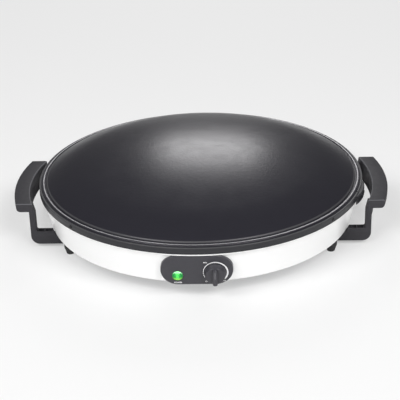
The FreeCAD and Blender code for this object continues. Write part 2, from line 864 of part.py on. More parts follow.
# Control panel: a hollow moulding whose back edge follows the shell
panel_body = new_body("panel_blank")
panel_sketch = new_sketch(panel_body, "panel_outline", "XY_Plane")
pill(panel_sketch, n.panel_half_width, panel_end_radius)
pad(panel_body, "panel_block", panel_sketch, n.panel_depth, True)
fillet(panel_body, "panel_edge", n.panel_round, level(0))
hollow_sketch = new_sketch(panel_body, "panel_hollow_outline", "XY_Plane", -n.panel_depth)
pill(hollow_sketch, n.panel_half_width - n.panel_wall, panel_end_radius - n.panel_wall)
pocket(panel_body, "panel_hollow", hollow_sketch, n.panel_depth - n.panel_wall, True)
lamp_hole_sketch = new_sketch(panel_body, "lamp_hole_outline", "XY_Plane")
rings(lamp_hole_sketch, [(-n.lamp_reach, -n.lamp_drop)], n.lens_radius + n.hole_gap)
pocket(panel_body, "lamp_hole", lamp_hole_sketch, n.panel_wall + n.cut_overrun)
knob_hole_sketch = new_sketch(panel_body, "knob_hole_outline", "XY_Plane")
rings(knob_hole_sketch, [(n.knob_reach, -n.knob_drop)], n.spindle_radius + n.piece_gap)
pocket(panel_body, "knob_hole", knob_hole_sketch, n.panel_wall + n.cut_overrun)
panel_body.Placement = panel_frame
panel_seated = document.addObject("Part::Cut", "panel_seated")
panel_seated.Base = panel_body
panel_seated.Tool = envelope
post_length = n.control_depth - n.panel_wall / 2
panel_posts = [rod(f"panel_post_{i}", n.post_radius, post_length, on_panel(x, y, -n.control_depth))
               for i, (x, y) in enumerate(post_places)]
panel_whole = joined("panel_whole", [panel_seated] + panel_posts)
post_drills = [rod(f"post_drill_{i}", n.small_screw_radius + n.running_gap,
                   n.screw_reach + n.cut_overrun * 2, on_panel(x, y, -n.control_depth - n.cut_overrun))
               for i, (x, y) in enumerate(post_places)]
control_panel = drilled("control_panel", panel_whole, post_drills)

# Control plate: sheet on the panel's posts that carries the thermostat and the lamp
control_back = n.control_depth + n.control_sheet
control_half_height = post_lift + n.control_margin
plate_blank = new_body("control_plate_blank")
control_sketch = new_sketch(plate_blank, "control_outline", "XY_Plane", -control_back)
rectangle(control_sketch, -n.control_half_width, -control_half_height,
          n.control_half_width, control_half_height)
pad(plate_blank, "control_sheet_plate", control_sketch, n.control_sheet)
control_holes = new_sketch(plate_blank, "control_holes_outline", "XY_Plane", -n.control_depth)
rings(control_holes, [(n.knob_reach, -n.knob_drop)], n.bush_radius + n.hole_gap)
rings(control_holes, [(-n.lamp_reach, -n.lamp_drop)], n.lamp_radius + n.hole_gap)
rings(control_holes, post_places, n.small_screw_radius + n.running_gap)
pocket(plate_blank, "control_holes", control_holes, n.control_sheet + n.cut_overrun)
plate_blank.Label = "control_plate"
plate_blank.Placement = panel_frame
about_face = spot(0, 0, 0, CROSSWISE, 180)
group("panel_screws", [
    screw(f"panel_screw_{i}", n.small_screw_head_radius, n.small_screw_head_height, n.small_screw_radius,
          n.screw_reach + n.control_sheet, on_panel(x, y, -control_back).multiply(about_face))
    for i, (x, y) in enumerate(post_places)
])

# Pilot lamp: domed lens in the panel, lamp holder behind it
lens_body = new_body("pilot_lens")
lens_crown_radius = (n.lens_radius * n.lens_radius + n.lens_crown * n.lens_crown) / n.lens_crown / 2
revolve(lens_body, "lens", [
    (0, -n.lens_depth),
    (n.lens_radius, -n.lens_depth),
    (n.lens_radius, 0),
    (0, n.lens_crown),
], {2: (lens_crown_radius, 1)})
lens_body.Placement = on_panel(-n.lamp_reach, -n.lamp_drop, 0)
lamp_foot = n.lens_depth + n.lamp_length
lamp_body = new_body("pilot_lamp")
flange_foot = n.lamp_flange_height - n.control_depth
revolve(lamp_body, "lamp", [
    (0, -lamp_foot),
    (n.lamp_radius, -lamp_foot),
    (n.lamp_radius, -n.control_depth),
    (n.lamp_flange_radius, -n.control_depth),
    (n.lamp_flange_radius, flange_foot),
    (n.lamp_radius, flange_foot),
    (n.lamp_radius, -n.lens_depth),
    (0, -n.lens_depth),
])
lamp_body.Placement = on_panel(-n.lamp_reach, -n.lamp_drop, 0)

# Thermostat: moulded case behind the control plate, threaded bush through it, two tabs at the back
thermostat_back = control_back + n.thermostat_depth
thermostat_half_height = post_lift + n.knob_drop - n.small_screw_head_radius - n.piece_gap
thermostat_body = new_body("thermostat")
case_sketch = new_sketch(thermostat_body, "case_outline", "XY_Plane", -thermostat_back)
rectangle(case_sketch, -n.thermostat_half_width, -thermostat_half_height,
          n.thermostat_half_width, thermostat_half_height)
pad(thermostat_body, "case", case_sketch, n.thermostat_depth)


def case_corner(edge):
    low, high = (vertex.Z for vertex in edge.Vertexes)
    return near(abs(high - low), n.thermostat_depth)


fillet(thermostat_body, "case_corners", n.thermostat_round, case_corner)
bush_top = n.nut_height - n.control_depth
bush_sketch = new_sketch(thermostat_body, "bush_outline", "XY_Plane", -control_back)
rings(bush_sketch, [(0, 0)], n.bush_radius)
pad(thermostat_body, "bush", bush_sketch, n.control_sheet + n.nut_height)
tab_sketch = new_sketch(thermostat_body, "tab_outlines", "XY_Plane", -thermostat_back)
tab_half = n.tab_thickness / 2
for tab_x in (-n.tab_reach, n.tab_reach):
    rectangle(tab_sketch, tab_x - n.tab_half_width, -tab_half, tab_x + n.tab_half_width, tab_half)
pad(thermostat_body, "tabs", tab_sketch, n.tab_length, True)
bore_sketch = new_sketch(thermostat_body, "spindle_bore_outline", "XY_Plane", bush_top)
rings(bore_sketch, [(0, 0)], n.spindle_radius + n.running_gap)
spindle_foot = control_back + n.spindle_depth
pocket(thermostat_body, "spindle_bore", bore_sketch, bush_top + spindle_foot)
knob_frame = on_panel(n.knob_reach, -n.knob_drop, 0)
thermostat_body.Placement = knob_frame
bush_nut = document.addObject("Part::Prism", "bush_nut")
bush_nut.Polygon = 6
bind(bush_nut, "Circumradius", n.bush_radius + n.nut_height)
bind(bush_nut, "Height", n.nut_height)
bush_nut.Placement = knob_frame.multiply(spot(0, 0, -n.control_depth))
drilled("thermostat_nut", bush_nut, [
    rod("bush_nut_drill", n.bush_radius + n.running_gap, n.nut_height + n.cut_overrun * 2,
        knob_frame.multiply(spot(0, 0, -n.control_depth - n.cut_overrun)))])

# Spindle: a round shaft with a flat, turning in the thermostat's bush
knob_seat = n.knob_gap + n.spindle_hold
spindle_low = n.running_gap - spindle_foot
shaft = rod("spindle_shaft", n.spindle_radius, knob_seat - spindle_low, spot(0, 0, spindle_low))
flat_place = spot(-n.spindle_radius, n.spindle_radius - n.spindle_flat, n.knob_gap)
flat = block("spindle_flat_cut", n.spindle_radius * 2, n.spindle_flat + n.cut_overrun,
             n.spindle_hold + n.cut_overrun, flat_place)
spindle = document.addObject("Part::Cut", "thermostat_spindle")
spindle.Base = shaft
spindle.Tool = flat
spindle.Placement = knob_frame

# Knob: a skirted disc with a raised bar that points down when it is off
knob_body = new_body("thermostat_knob")
knob_shoulder = n.knob_gap + n.knob_skirt_height
knob_top = n.knob_gap + n.knob_body_height
revolve(knob_body, "knob_disc", [
    (0, n.knob_gap),
    (n.knob_skirt_radius, n.knob_gap),
    (n.knob_skirt_radius, knob_shoulder),
    (n.knob_body_radius, knob_top),
    (0, knob_top),
])
fillet(knob_body, "knob_disc_edge", n.knob_round, hoop(n.knob_body_radius, knob_top))
bar_sketch = new_sketch(knob_body, "bar_outline", "XY_Plane", knob_shoulder)
bar_back = n.knob_body_radius - n.bar_half_width
bar_front = n.bar_reach - n.bar_half_width
outline(bar_sketch, [
    (-n.bar_half_width, -bar_front),
    (n.bar_half_width, -bar_front),
    (n.bar_half_width, bar_back),
    (-n.bar_half_width, bar_back),
], {0: (None, 1), 2: (None, 1)})
bar_top = knob_top + n.bar_height
pad(knob_body, "bar", bar_sketch, bar_top - knob_shoulder)
fillet(knob_body, "bar_edge", n.bar_round, level(bar_top))
hold_sketch = new_sketch(knob_body, "spindle_socket_outline", "XY_Plane", n.knob_gap)
socket_radius = n.spindle_radius + n.running_gap
socket_flat = n.spindle_radius - n.spindle_flat + n.running_gap
socket_corner = chord(socket_radius, socket_flat)
outline(hold_sketch, [(-socket_corner, socket_flat), (0, -socket_radius), (socket_corner, socket_flat)],
        {0: (socket_radius, 1), 1: (socket_radius, 1)})
pocket(knob_body, "spindle_socket", hold_sketch, n.spindle_hold + n.running_gap, True)
knob_body.Placement = knob_frame

# Handles: a grip curved with the band, a finger guard down its inner side, two legs and two troughed
# arms that run under the base
grip_inner = band_radius + n.finger_gap
grip_outer = grip_inner + n.grip_width
grip_foot = grip_top - n.grip_thickness
guard_outer = grip_inner + n.guard_thickness
guard_foot = grip_foot - n.guard_drop
leg_top = grip_top - n.grip_edge_round
arm_inside = n.grip_half_length - n.arm_depth
arm_middle = n.grip_half_length - n.arm_depth / 2
arm_top = n.foot_height + n.arm_rise
leg_inner = chord(band_radius, arm_inside) + n.leg_gap
leg_outer = leg_inner + n.leg_thickness
step_reach = chord(shell_radius_at(arm_top), arm_inside) + n.piece_gap
handle_screw_circle = shell_bottom_radius - n.handle_screw_inset
handle_screw_reach = chord(handle_screw_circle, arm_middle)
arm_end = handle_screw_reach - n.arm_end_margin
trough_start = step_reach + n.trough_wall
trough_finish = leg_inner - n.arm_inner_round
trough_depth = arm_top - n.arm_clearance - n.trough_floor
rib_middle = trough_start + (trough_finish - trough_start) * n.trough_rib_share
rib_start = rib_middle - n.trough_rib / 2
rib_finish = rib_middle + n.trough_rib / 2
trough_near = -n.grip_half_length + n.trough_wall
trough_far = -arm_inside - n.trough_wall


def make_handle(label, turn):
    body = new_body(label)
    grip_sketch = new_sketch(body, "grip_outline", "XY_Plane", grip_foot)
    inner_end = chord(grip_inner, n.grip_half_length)
    outer_end = chord(grip_outer, n.grip_half_length)
    outline(grip_sketch, [
        (inner_end, -n.grip_half_length),
        (outer_end, -n.grip_half_length),
        (outer_end, n.grip_half_length),
        (inner_end, n.grip_half_length),
    ], {1: (grip_outer, 1), 3: (grip_inner, -1)})
    pad(body, "grip", grip_sketch, n.grip_thickness)

    def lower_edge(edge):
        return level(grip_foot)(edge) and all(near(vertex.X, outer_end) for vertex in edge.Vertexes)

    def outer_corner(edge):
        low, high = (vertex.Point for vertex in edge.Vertexes)
        return near(abs(high.z - low.z), n.grip_thickness - n.grip_lower_round) and near(low.x, high.x)

    fillet(body, "grip_lower_edge", n.grip_lower_round, lower_edge)
    fillet(body, "grip_corners", n.grip_corner_round, outer_corner)
    fillet(body, "grip_top_edge", n.grip_edge_round, level(grip_top))
    guard_sketch = new_sketch(body, "guard_outline", "XY_Plane", guard_foot)
    guard_end = chord(guard_outer, n.grip_half_length)
    outline(guard_sketch, [
        (inner_end, -n.grip_half_length),
        (guard_end, -n.grip_half_length),
        (guard_end, n.grip_half_length),
        (inner_end, n.grip_half_length),
    ], {1: (guard_outer, 1), 3: (grip_inner, -1)})
    pad(body, "guard", guard_sketch, n.guard_drop + n.grip_edge_round)
    arm_sketch = new_sketch(body, "arm_outline", "XZ_Plane", arm_inside)
    outline(arm_sketch, [
        (leg_outer, leg_top),
        (leg_inner, leg_top),
        (leg_inner, arm_top + n.arm_inner_round),
        (leg_inner - n.arm_inner_round, arm_top),
        (step_reach, arm_top),
        (step_reach, n.foot_height),
        (arm_end, n.foot_height),
        (arm_end, n.arm_clearance),
        (leg_outer - n.arm_corner_round, n.arm_clearance),
        (leg_outer, n.arm_clearance + n.arm_corner_round),
    ], {2: (n.arm_inner_round, -1), 8: (n.arm_corner_round, 1)})
    arm = pad(body, "arm", arm_sketch, n.arm_depth)
    trough_sketch = new_sketch(body, "trough_outline", "XY_Plane", arm_top)
    rectangle(trough_sketch, trough_start, trough_near, rib_start, trough_far)
    rectangle(trough_sketch, rib_finish, trough_near, trough_finish, trough_far)
    trough = pocket(body, "trough", trough_sketch, trough_depth)
    head_sketch = new_sketch(body, "screw_sink_outline", "XY_Plane", n.arm_clearance)
    rings(head_sketch, [(handle_screw_reach, -arm_middle)], n.handle_screw_head_radius + n.counterbore_gap)
    head_sink = pocket(body, "screw_sink", head_sketch, n.handle_screw_sink, True)
    shank_sketch = new_sketch(body, "screw_hole_outline", "XY_Plane", n.foot_height)
    rings(shank_sketch, [(handle_screw_reach, -arm_middle)], n.handle_screw_radius + n.running_gap)
    shank_hole = pocket(body, "screw_hole", shank_sketch, n.foot_height - n.arm_clearance)
    mirrored = body.newObject("PartDesign::Mirrored", "rear_arm")
    mirrored.Originals = [arm, trough, head_sink, shank_hole]
    mirrored.MirrorPlane = (plane_of(body, "XZ_Plane"), [""])
    body.Tip = mirrored
    document.recompute()
    body.Placement = spot(0, 0, 0, UPRIGHT, turn)


make_handle("right_handle", 0)
make_handle("left_handle", 180)

# Screws under the base: handles from below, cover from below, feet from inside
handle_screw_seat = n.arm_clearance + n.handle_screw_sink
handle_screw_length = shell_floor - handle_screw_seat + n.screw_reach
cover_screw_circle = shell_bottom_radius - n.cover_screw_inset
foot_circle = shell_bottom_radius - n.foot_inset
handle_spots = corner_places(handle_screw_reach, arm_middle)
cover_spots = corner_places(cover_screw_circle * cosine(n.cover_screw_angle),
                            cover_screw_circle * sine(n.cover_screw_angle))
foot_side = n.grip_half_length + n.foot_gap + n.foot_top_radius
foot_spots = corner_places(chord(foot_circle, foot_side), foot_side)


def upward(x, y, z):
    return spot(x, y, z, CROSSWISE, 180)


group("handle_screws", [
    screw(f"handle_screw_{i}", n.handle_screw_head_radius, n.handle_screw_head_height,
          n.handle_screw_radius, handle_screw_length, upward(x, y, handle_screw_seat))
    for i, (x, y) in enumerate(handle_spots)
])
cover_screw_length = n.cover_sheet + n.shell_sheet + n.screw_reach
group("cover_screws", [
    screw(f"cover_screw_{i}", n.small_screw_head_radius, n.small_screw_head_height,
          n.small_screw_radius, cover_screw_length, upward(x, y, n.foot_height))
    for i, (x, y) in enumerate(cover_spots)
])
foot_screw_length = shell_floor - n.foot_height + n.foot_screw_grip
group("foot_screws", [
    screw(f"foot_screw_{i}", n.small_screw_head_radius, n.small_screw_head_height,
          n.small_screw_radius, foot_screw_length, spot(x, y, shell_floor))
    for i, (x, y) in enumerate(foot_spots)
])


def base_drills(name):
    """Cutters for the screws that pass through the cover and the shell's flange."""
    length = n.cover_sheet + n.shell_sheet + n.cut_overrun * 2
    cutters = []
    for kind, spots, radius in (("handle", handle_spots, n.handle_screw_radius),
                                ("cover", cover_spots, n.small_screw_radius),
                                ("foot", foot_spots, n.small_screw_radius)):
        for i, (x, y) in enumerate(spots):
            cutters.append(rod(f"{name}_{kind}_{i}", radius + n.running_gap, length,
                               spot(x, y, n.foot_height - n.cut_overrun)))
    return cutters


bottom_cover = drilled("bottom_cover", cover_body, base_drills("cover_drill"))

# Feet: tapered rubber posts
for place, (x, y) in zip(("front_right", "rear_right", "rear_left", "front_left"), foot_spots):
    foot_body = new_body(f"foot_{place}_blank")
    revolve(foot_body, "foot", [
        (0, 0),
        (n.foot_sole_radius, 0),
        (n.foot_top_radius, n.foot_taper),
        (n.foot_top_radius, n.foot_height),
        (0, n.foot_height),
    ])
    hole_sketch = new_sketch(foot_body, "foot_hole_outline", "XY_Plane", n.foot_height)
    rings(hole_sketch, [(0, 0)], n.small_screw_radius + n.running_gap)
    pocket(foot_body, "foot_hole", hole_sketch, n.foot_screw_grip + n.running_gap)
    foot_body.Placement = spot(x, y, 0)
    foot_body.Label = f"foot_{place}"

# Cord inlet: a flanged bush square to the shell's wall at the rear, with a nut inside
wall_slope = math.degrees(math.atan2(float(n.shell_flare), float(wall_height)))
inlet_frame = spot(0, shell_radius_at(wall_middle), wall_middle, CROSSWISE, -90 - wall_slope)
inlet_body = new_body("inlet_bush")
inlet_nose = n.inlet_flange_height + n.inlet_nose_length
revolve(inlet_body, "bush", [
    (n.inlet_bore_radius, -n.inlet_thread_length),
    (n.inlet_thread_radius, -n.inlet_thread_length),
    (n.inlet_thread_radius, 0),
    (n.inlet_flange_radius, 0),
    (n.inlet_flange_radius, n.inlet_flange_height),
    (n.inlet_nose_radius, n.inlet_flange_height),
    (n.inlet_tip_radius, inlet_nose),
    (n.inlet_bore_radius, inlet_nose),
])
inlet_body.Placement = inlet_frame
inlet_nut = document.addObject("Part::Prism", "inlet_nut_blank")
inlet_nut.Polygon = 6
bind(inlet_nut, "Circumradius", n.inlet_nut_radius)
bind(inlet_nut, "Height", n.inlet_nut_height)
nut_top = n.shell_sheet + n.inlet_nut_gap
inlet_nut.Placement = inlet_frame.multiply(spot(0, 0, -nut_top - n.inlet_nut_height))
drilled("inlet_nut", inlet_nut, [
    rod("inlet_nut_drill", n.inlet_thread_radius + n.running_gap, n.inlet_nut_height + n.cut_overrun * 2,
        inlet_frame.multiply(spot(0, 0, -nut_top - n.inlet_nut_height - n.cut_overrun)))])

# Shell with its openings: posts, spindle, lamp, cord inlet and screws
wall_cut = n.control_depth + n.cut_overrun
shell_drills = base_drills("shell_drill")
for i, (x, y) in enumerate(post_places):
    shell_drills.append(rod(f"shell_post_drill_{i}", n.post_radius + n.hole_gap, wall_cut,
                            on_panel(x, y, -wall_cut)))
shell_drills.append(rod("shell_spindle_drill", n.spindle_radius + n.piece_gap, wall_cut,
                        on_panel(n.knob_reach, -n.knob_drop, -wall_cut)))
shell_drills.append(rod("shell_lamp_drill", n.lens_radius + n.hole_gap, wall_cut,
                        on_panel(-n.lamp_reach, -n.lamp_drop, -wall_cut)))
shell_drills.append(rod("shell_inlet_drill", n.inlet_thread_radius + n.hole_gap, n.inlet_thread_length * 2,
                        inlet_frame.multiply(spot(0, 0, -n.inlet_thread_length))))
base_shell = drilled("base_shell", shell_body, shell_drills)

# Reflector: a flat disc with a turned-down rim and holes for the cold ends and the capillary
reflector_body = new_body("heat_reflector")
reflector_radius = n.plate_edge_radius * n.reflector_share
reflector_inner = reflector_radius - n.reflector_sheet
revolve(reflector_body, "dish", [
    (0, reflector_foot),
    (reflector_inner, reflector_foot),
    (reflector_inner, reflector_top - n.reflector_rim),
    (reflector_radius, reflector_top - n.reflector_rim),
    (reflector_radius, reflector_top),
    (0, reflector_top),
])
sheet_cut = n.reflector_sheet + n.cut_overrun * 2
sheet_foot = reflector_foot - n.cut_overrun
reflector_drills = [rod(f"pin_drill_{i}", n.pin_hole_radius, sheet_cut, spot(pin.x, pin.y, sheet_foot))
                    for i, pin in enumerate((first_pin, last_pin))]
for i, angle in enumerate(boss_angles):
    turn = spot(0, 0, 0, UPRIGHT, angle)
    reflector_drills.append(rod(f"stud_drill_{i}", n.stud_radius + n.running_gap, sheet_cut,
                                turn.multiply(spot(boss_circle, 0, sheet_foot))))
capillary_fall = bulb_end + bulb_way * float(n.capillary_bend * 2)
reflector_drills.append(rod("capillary_drill", n.capillary_radius * 3, sheet_cut,
                            spot(capillary_fall.x, capillary_fall.y, sheet_foot)))
drilled("heat_reflector", reflector_body, reflector_drills)

# Capillary: from the bulb's end down through the reflector to the back of the thermostat
port_reach = n.thermostat_half_width / 2
port_lift = thermostat_half_height / 2
thermostat_port = knob_frame.multVec(vector(port_reach, port_lift, -thermostat_back))
port_clear = knob_frame.multVec(vector(port_reach, port_lift, -thermostat_back - n.lead_run * 2))
tube("capillary_tube", [
    bulb_end,
    capillary_fall,
    vector(capillary_fall.x, capillary_fall.y, port_clear.z),
    port_clear,
    thermostat_port,
], n.capillary_radius, n.capillary_bend / 2)

# Terminal block on the cover, with its screws
terminal_body = new_body("terminal_block")
terminal_sketch = new_sketch(terminal_body, "terminal_outline", "XY_Plane", cover_top)
terminal_reach = cover_radius * n.terminal_share
terminal_face = terminal_reach - n.terminal_half_depth
rectangle(terminal_sketch, -n.terminal_half_length, terminal_face,
          n.terminal_half_length, terminal_reach + n.terminal_half_depth)
pad(terminal_body, "terminal", terminal_sketch, n.terminal_height)
terminal_top = cover_top + n.terminal_height
terminal_ways = [n.terminal_pitch * way for way in (-2.5, -1.5, -0.5, 0.5, 1.5, 2.5)]
group("terminal_screws", [
    rod(f"terminal_screw_{i}", n.terminal_screw_radius, n.terminal_screw_height,
        spot(x, terminal_reach, terminal_top))
    for i, x in enumerate(terminal_ways)
])

# Leads: cold ends to the block, thermostat and lamp to the block
lead_height = cover_top + n.lead_lift
for side, pin in (("left", first_pin), ("right", last_pin)):
    tube(f"element_lead_{side}", [
        vector(pin.x, pin.y, pin_foot),
        vector(pin.x, pin.y, lead_height),
        vector(pin.x, terminal_face, lead_height),
    ], n.lead_radius, n.lead_bend)


def panel_lead(label, frame, x, back, way):
    """A lead that leaves the back of a panel piece square to it and drops to its way in the block."""
    start = frame.multVec(vector(x, 0, -back))
    step = frame.multVec(vector(x, 0, -back - n.lead_run))
    turn_in = vector(way, step.y + float(n.lead_run) * 3, lead_height)
    finish = vector(way, terminal_face, lead_height)
    return tube(label, [start, step, turn_in, finish], n.lead_radius, n.lead_bend)


tab_foot = thermostat_back + n.tab_length
panel_lead("thermostat_lead_left", knob_frame, -n.tab_reach, tab_foot, n.terminal_pitch / 2)
panel_lead("thermostat_lead_right", knob_frame, n.tab_reach, tab_foot, n.terminal_pitch * 2.5)
lamp_frame = on_panel(-n.lamp_reach, -n.lamp_drop, 0)
panel_lead("lamp_lead_left", lamp_frame, -n.lamp_radius / 2, lamp_foot, n.terminal_pitch * -2.5)
panel_lead("lamp_lead_right", lamp_frame, n.lamp_radius / 2, lamp_foot, n.terminal_pitch / -2)

# Checks, then one file for each sub-part
NODES = (
    "cooking_plate", "rim_band", "band_clasp", "clasp_screw", "rim_screws", "base_shell",
    "bottom_cover", "cover_screws", "foot_front_right", "foot_rear_right", "foot_rear_left",
    "foot_front_left", "foot_screws", "right_handle", "left_handle", "handle_screws",
    "heating_element", "element_clamps", "clamp_studs", "reflector_spacers", "stud_nuts",
    "heat_reflector", "sensor_bulb", "capillary_tube", "control_panel", "control_plate",
    "panel_screws", "pilot_lens", "pilot_lamp", "thermostat", "thermostat_nut",
    "thermostat_spindle", "thermostat_knob", "terminal_block", "terminal_screws",
    "element_lead_left", "element_lead_right", "thermostat_lead_left", "thermostat_lead_right",
    "lamp_lead_left", "lamp_lead_right", "inlet_bush", "inlet_nut",
)
document.recompute()
for item in document.Objects:
    if "Invalid" in item.State or "Error" in item.State:
        raise RuntimeError(f"{item.Label} failed: {item.State}")
os.makedirs("parts", exist_ok=True)
for node in NODES:
    piece = document.getObjectsByLabel(node)[0]
    if piece.Shape.isNull() or not piece.Shape.isValid():
        raise RuntimeError(f"{node} has no valid shape")
    piece.Shape.exportStep(f"parts/{node}.step")
print(len(NODES), "parts written")
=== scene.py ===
import json
import math

import bmesh
import bpy
from mathutils import Matrix, Vector


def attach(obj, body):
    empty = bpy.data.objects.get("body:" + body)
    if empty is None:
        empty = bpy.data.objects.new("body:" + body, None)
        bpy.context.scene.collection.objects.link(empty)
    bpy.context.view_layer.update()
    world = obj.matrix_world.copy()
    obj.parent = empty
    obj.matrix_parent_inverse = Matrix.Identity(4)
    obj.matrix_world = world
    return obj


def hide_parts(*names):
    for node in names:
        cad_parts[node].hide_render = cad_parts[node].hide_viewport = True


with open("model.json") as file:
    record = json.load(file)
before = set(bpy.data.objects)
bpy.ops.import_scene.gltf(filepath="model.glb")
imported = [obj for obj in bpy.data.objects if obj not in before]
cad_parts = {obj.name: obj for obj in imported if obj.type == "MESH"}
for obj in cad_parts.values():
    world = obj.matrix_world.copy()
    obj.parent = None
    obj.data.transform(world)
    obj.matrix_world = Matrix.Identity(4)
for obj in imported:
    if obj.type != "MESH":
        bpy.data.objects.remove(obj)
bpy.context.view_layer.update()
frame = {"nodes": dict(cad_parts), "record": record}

mm = 0.001


# Bottom cover
# A flat disc of zinc-plated sheet steel with a ring of blanked vent slots. Four
# screws hold it to the flange that is turned in at the foot of the shell.
def finish(name, colour, roughness, metallic=0.0):
    """A node material with its colour, roughness and metal set on the shader."""
    made = bpy.data.materials.new(name)
    made.use_nodes = True
    surface = made.node_tree.nodes["Principled BSDF"]
    surface.inputs["Base Color"].default_value = (*colour, 1.0)
    surface.inputs["Roughness"].default_value = roughness
    surface.inputs["Metallic"].default_value = metallic
    return made, made.node_tree, surface


def laid(tree, stretch=(1.0, 1.0, 1.0)):
    """The piece's own coordinates, stretched along an axis where wanted."""
    place = tree.nodes.new("ShaderNodeTexCoord")
    mapping = tree.nodes.new("ShaderNodeMapping")
    mapping.vector_type = "TEXTURE"
    mapping.inputs["Scale"].default_value = stretch
    tree.links.new(place.outputs["Object"], mapping.inputs["Vector"])
    return mapping.outputs["Vector"]


def grain(tree, scale, detail=2.0, stretch=(1.0, 1.0, 1.0), rough=0.5):
    """Noise with a number of swirls to the metre."""
    node = tree.nodes.new("ShaderNodeTexNoise")
    node.inputs["Scale"].default_value = scale
    node.inputs["Detail"].default_value = detail
    node.inputs["Roughness"].default_value = rough
    tree.links.new(laid(tree, stretch), node.inputs["Vector"])
    return node.outputs["Fac"]


def cells(tree, scale):
    """Random cells, as in zinc spangle or a speckled coating."""
    node = tree.nodes.new("ShaderNodeTexVoronoi")
    node.inputs["Scale"].default_value = scale
    tree.links.new(laid(tree), node.inputs["Vector"])
    return node.outputs


def spread(tree, value, low, high, start=0.3, end=0.7):
    """A pattern's values from start to end, carried over to low and high."""
    node = tree.nodes.new("ShaderNodeMapRange")
    node.inputs["From Min"].default_value = start
    node.inputs["From Max"].default_value = end
    node.inputs["To Min"].default_value = low
    node.inputs["To Max"].default_value = high
    tree.links.new(value, node.inputs["Value"])
    return node.outputs["Result"]


def tone(tree, share, first, second):
    """Two colours mixed by a pattern."""
    node = tree.nodes.new("ShaderNodeMix")
    node.data_type = "RGBA"
    for socket, colour in ((6, first), (7, second)):
        if isinstance(colour, tuple):
            node.inputs[socket].default_value = (*colour, 1.0)
        else:
            tree.links.new(colour, node.inputs[socket])
    tree.links.new(share, node.inputs[0])
    return node.outputs[2]


def relief(tree, surface, height, depth, strength=1.0):
    """Bump of a given depth in millimetres, laid over any bump that is already there."""
    node = tree.nodes.new("ShaderNodeBump")
    node.inputs["Strength"].default_value = strength
    node.inputs["Distance"].default_value = depth * mm
    tree.links.new(height, node.inputs["Height"])
    if surface.inputs["Normal"].is_linked:
        tree.links.new(surface.inputs["Normal"].links[0].from_socket, node.inputs["Normal"])
    tree.links.new(node.outputs["Normal"], surface.inputs["Normal"])


def dress(material, *nodes):
    """CAD nodes keep their shape and take a better finish."""
    for node in nodes:
        frame["nodes"][node].material_slots[0].material = material


dark_spangle = (0.43, 0.44, 0.45)
pale_spangle = (0.57, 0.58, 0.58)
zinc_plate, tree, surface = finish("zinc_plate", (0.50, 0.51, 0.52), roughness=0.40, metallic=1.0)
split = tree.nodes.new("ShaderNodeSeparateColor")
tree.links.new(cells(tree, scale=130.0)["Color"], split.inputs["Color"])
tree.links.new(tone(tree, split.outputs["Red"], dark_spangle, pale_spangle), surface.inputs["Base Color"])
tree.links.new(spread(tree, grain(tree, 60.0, 4.0), low=0.32, high=0.50), surface.inputs["Roughness"])
relief(tree, surface, grain(tree, 900.0, 3.0), depth=0.03, strength=0.4)
dress(zinc_plate, "bottom_cover")


# Cover screws
# Four cross-recessed pan-head screws of bright zinc-plated steel, driven up
# through the cover into the flange of the shell.
def mottled(name, plain, roughness, shades, shade_grain, gloss, gloss_grain, metallic=0.0, bumps=None):
    """A finish whose colour and roughness each vary with a grain, and that may be bumpy.

    A grain is its scale and detail. Bumps are a grain with a depth in millimetres and a strength.
    """
    made, tree, surface = finish(name, plain, roughness, metallic)
    tree.links.new(tone(tree, grain(tree, *shade_grain), *shades), surface.inputs["Base Color"])
    tree.links.new(spread(tree, grain(tree, *gloss_grain), *gloss), surface.inputs["Roughness"])
    if bumps:
        scale, detail, depth, strength = bumps
        relief(tree, surface, grain(tree, scale, detail), depth, strength)
    return made


def begin(name, x, z):
    """A new piece, in edit mode, that is one point of a section so far."""
    bpy.ops.object.select_all(action="DESELECT")
    bpy.ops.mesh.primitive_plane_add(size=1.0 * mm, location=(0.0, 0.0, 0.0))
    piece = bpy.context.object
    piece.name = name
    bpy.ops.object.mode_set(mode="EDIT")
    bpy.ops.mesh.select_mode(type="VERT")
    bpy.ops.mesh.select_all(action="SELECT")
    bpy.ops.mesh.merge(type="CENTER")
    bpy.ops.transform.translate(value=(x * mm, 0.0, z * mm))
    return piece


def trace(piece, *places):
    """Draw the section on from its last point through places in millimetres."""
    for x, z in places:
        last = next(v.co.copy() for v in bmesh.from_edit_mesh(piece.data).verts if v.select)
        step = Vector((x * mm, 0.0, z * mm)) - last
        bpy.ops.mesh.extrude_vertices_move(TRANSFORM_OT_translate={"value": step})


def pick(piece, kind, test):
    """Select the points, edges or faces of a piece that pass a test."""
    bpy.ops.mesh.select_mode(type=kind)
    bpy.ops.mesh.select_all(action="DESELECT")
    shape = bmesh.from_edit_mesh(piece.data)
    for part in {"VERT": shape.verts, "EDGE": shape.edges, "FACE": shape.faces}[kind]:
        if test(part):
            part.select_set(True)
    bmesh.update_edit_mesh(piece.data)


def soften(piece, *places, size, segments):
    """Round corners of the section, each given by its place in millimetres."""
    for x, z in places:
        spot = Vector((x * mm, 0.0, z * mm))
        pick(piece, "VERT", lambda v: (v.co - spot).length < 0.02 * mm)
        bpy.ops.mesh.bevel(offset=size * mm, offset_type="OFFSET", segments=segments, affect="VERTICES")


def weld():
    """Merge the points that meet."""
    bpy.ops.mesh.select_all(action="SELECT")
    bpy.ops.mesh.remove_doubles(threshold=0.002 * mm)


def tidy(piece, smooth=35.0):
    """Merge the seams, point the normals outwards and shade the piece."""
    bpy.ops.mesh.select_mode(type="VERT")
    weld()
    bpy.ops.mesh.normals_make_consistent(inside=False)
    if bmesh.from_edit_mesh(piece.data).calc_volume(signed=True) < 0.0:
        bpy.ops.mesh.flip_normals()
    bpy.ops.object.mode_set(mode="OBJECT")
    bpy.ops.object.shade_smooth_by_angle(angle=math.radians(smooth))


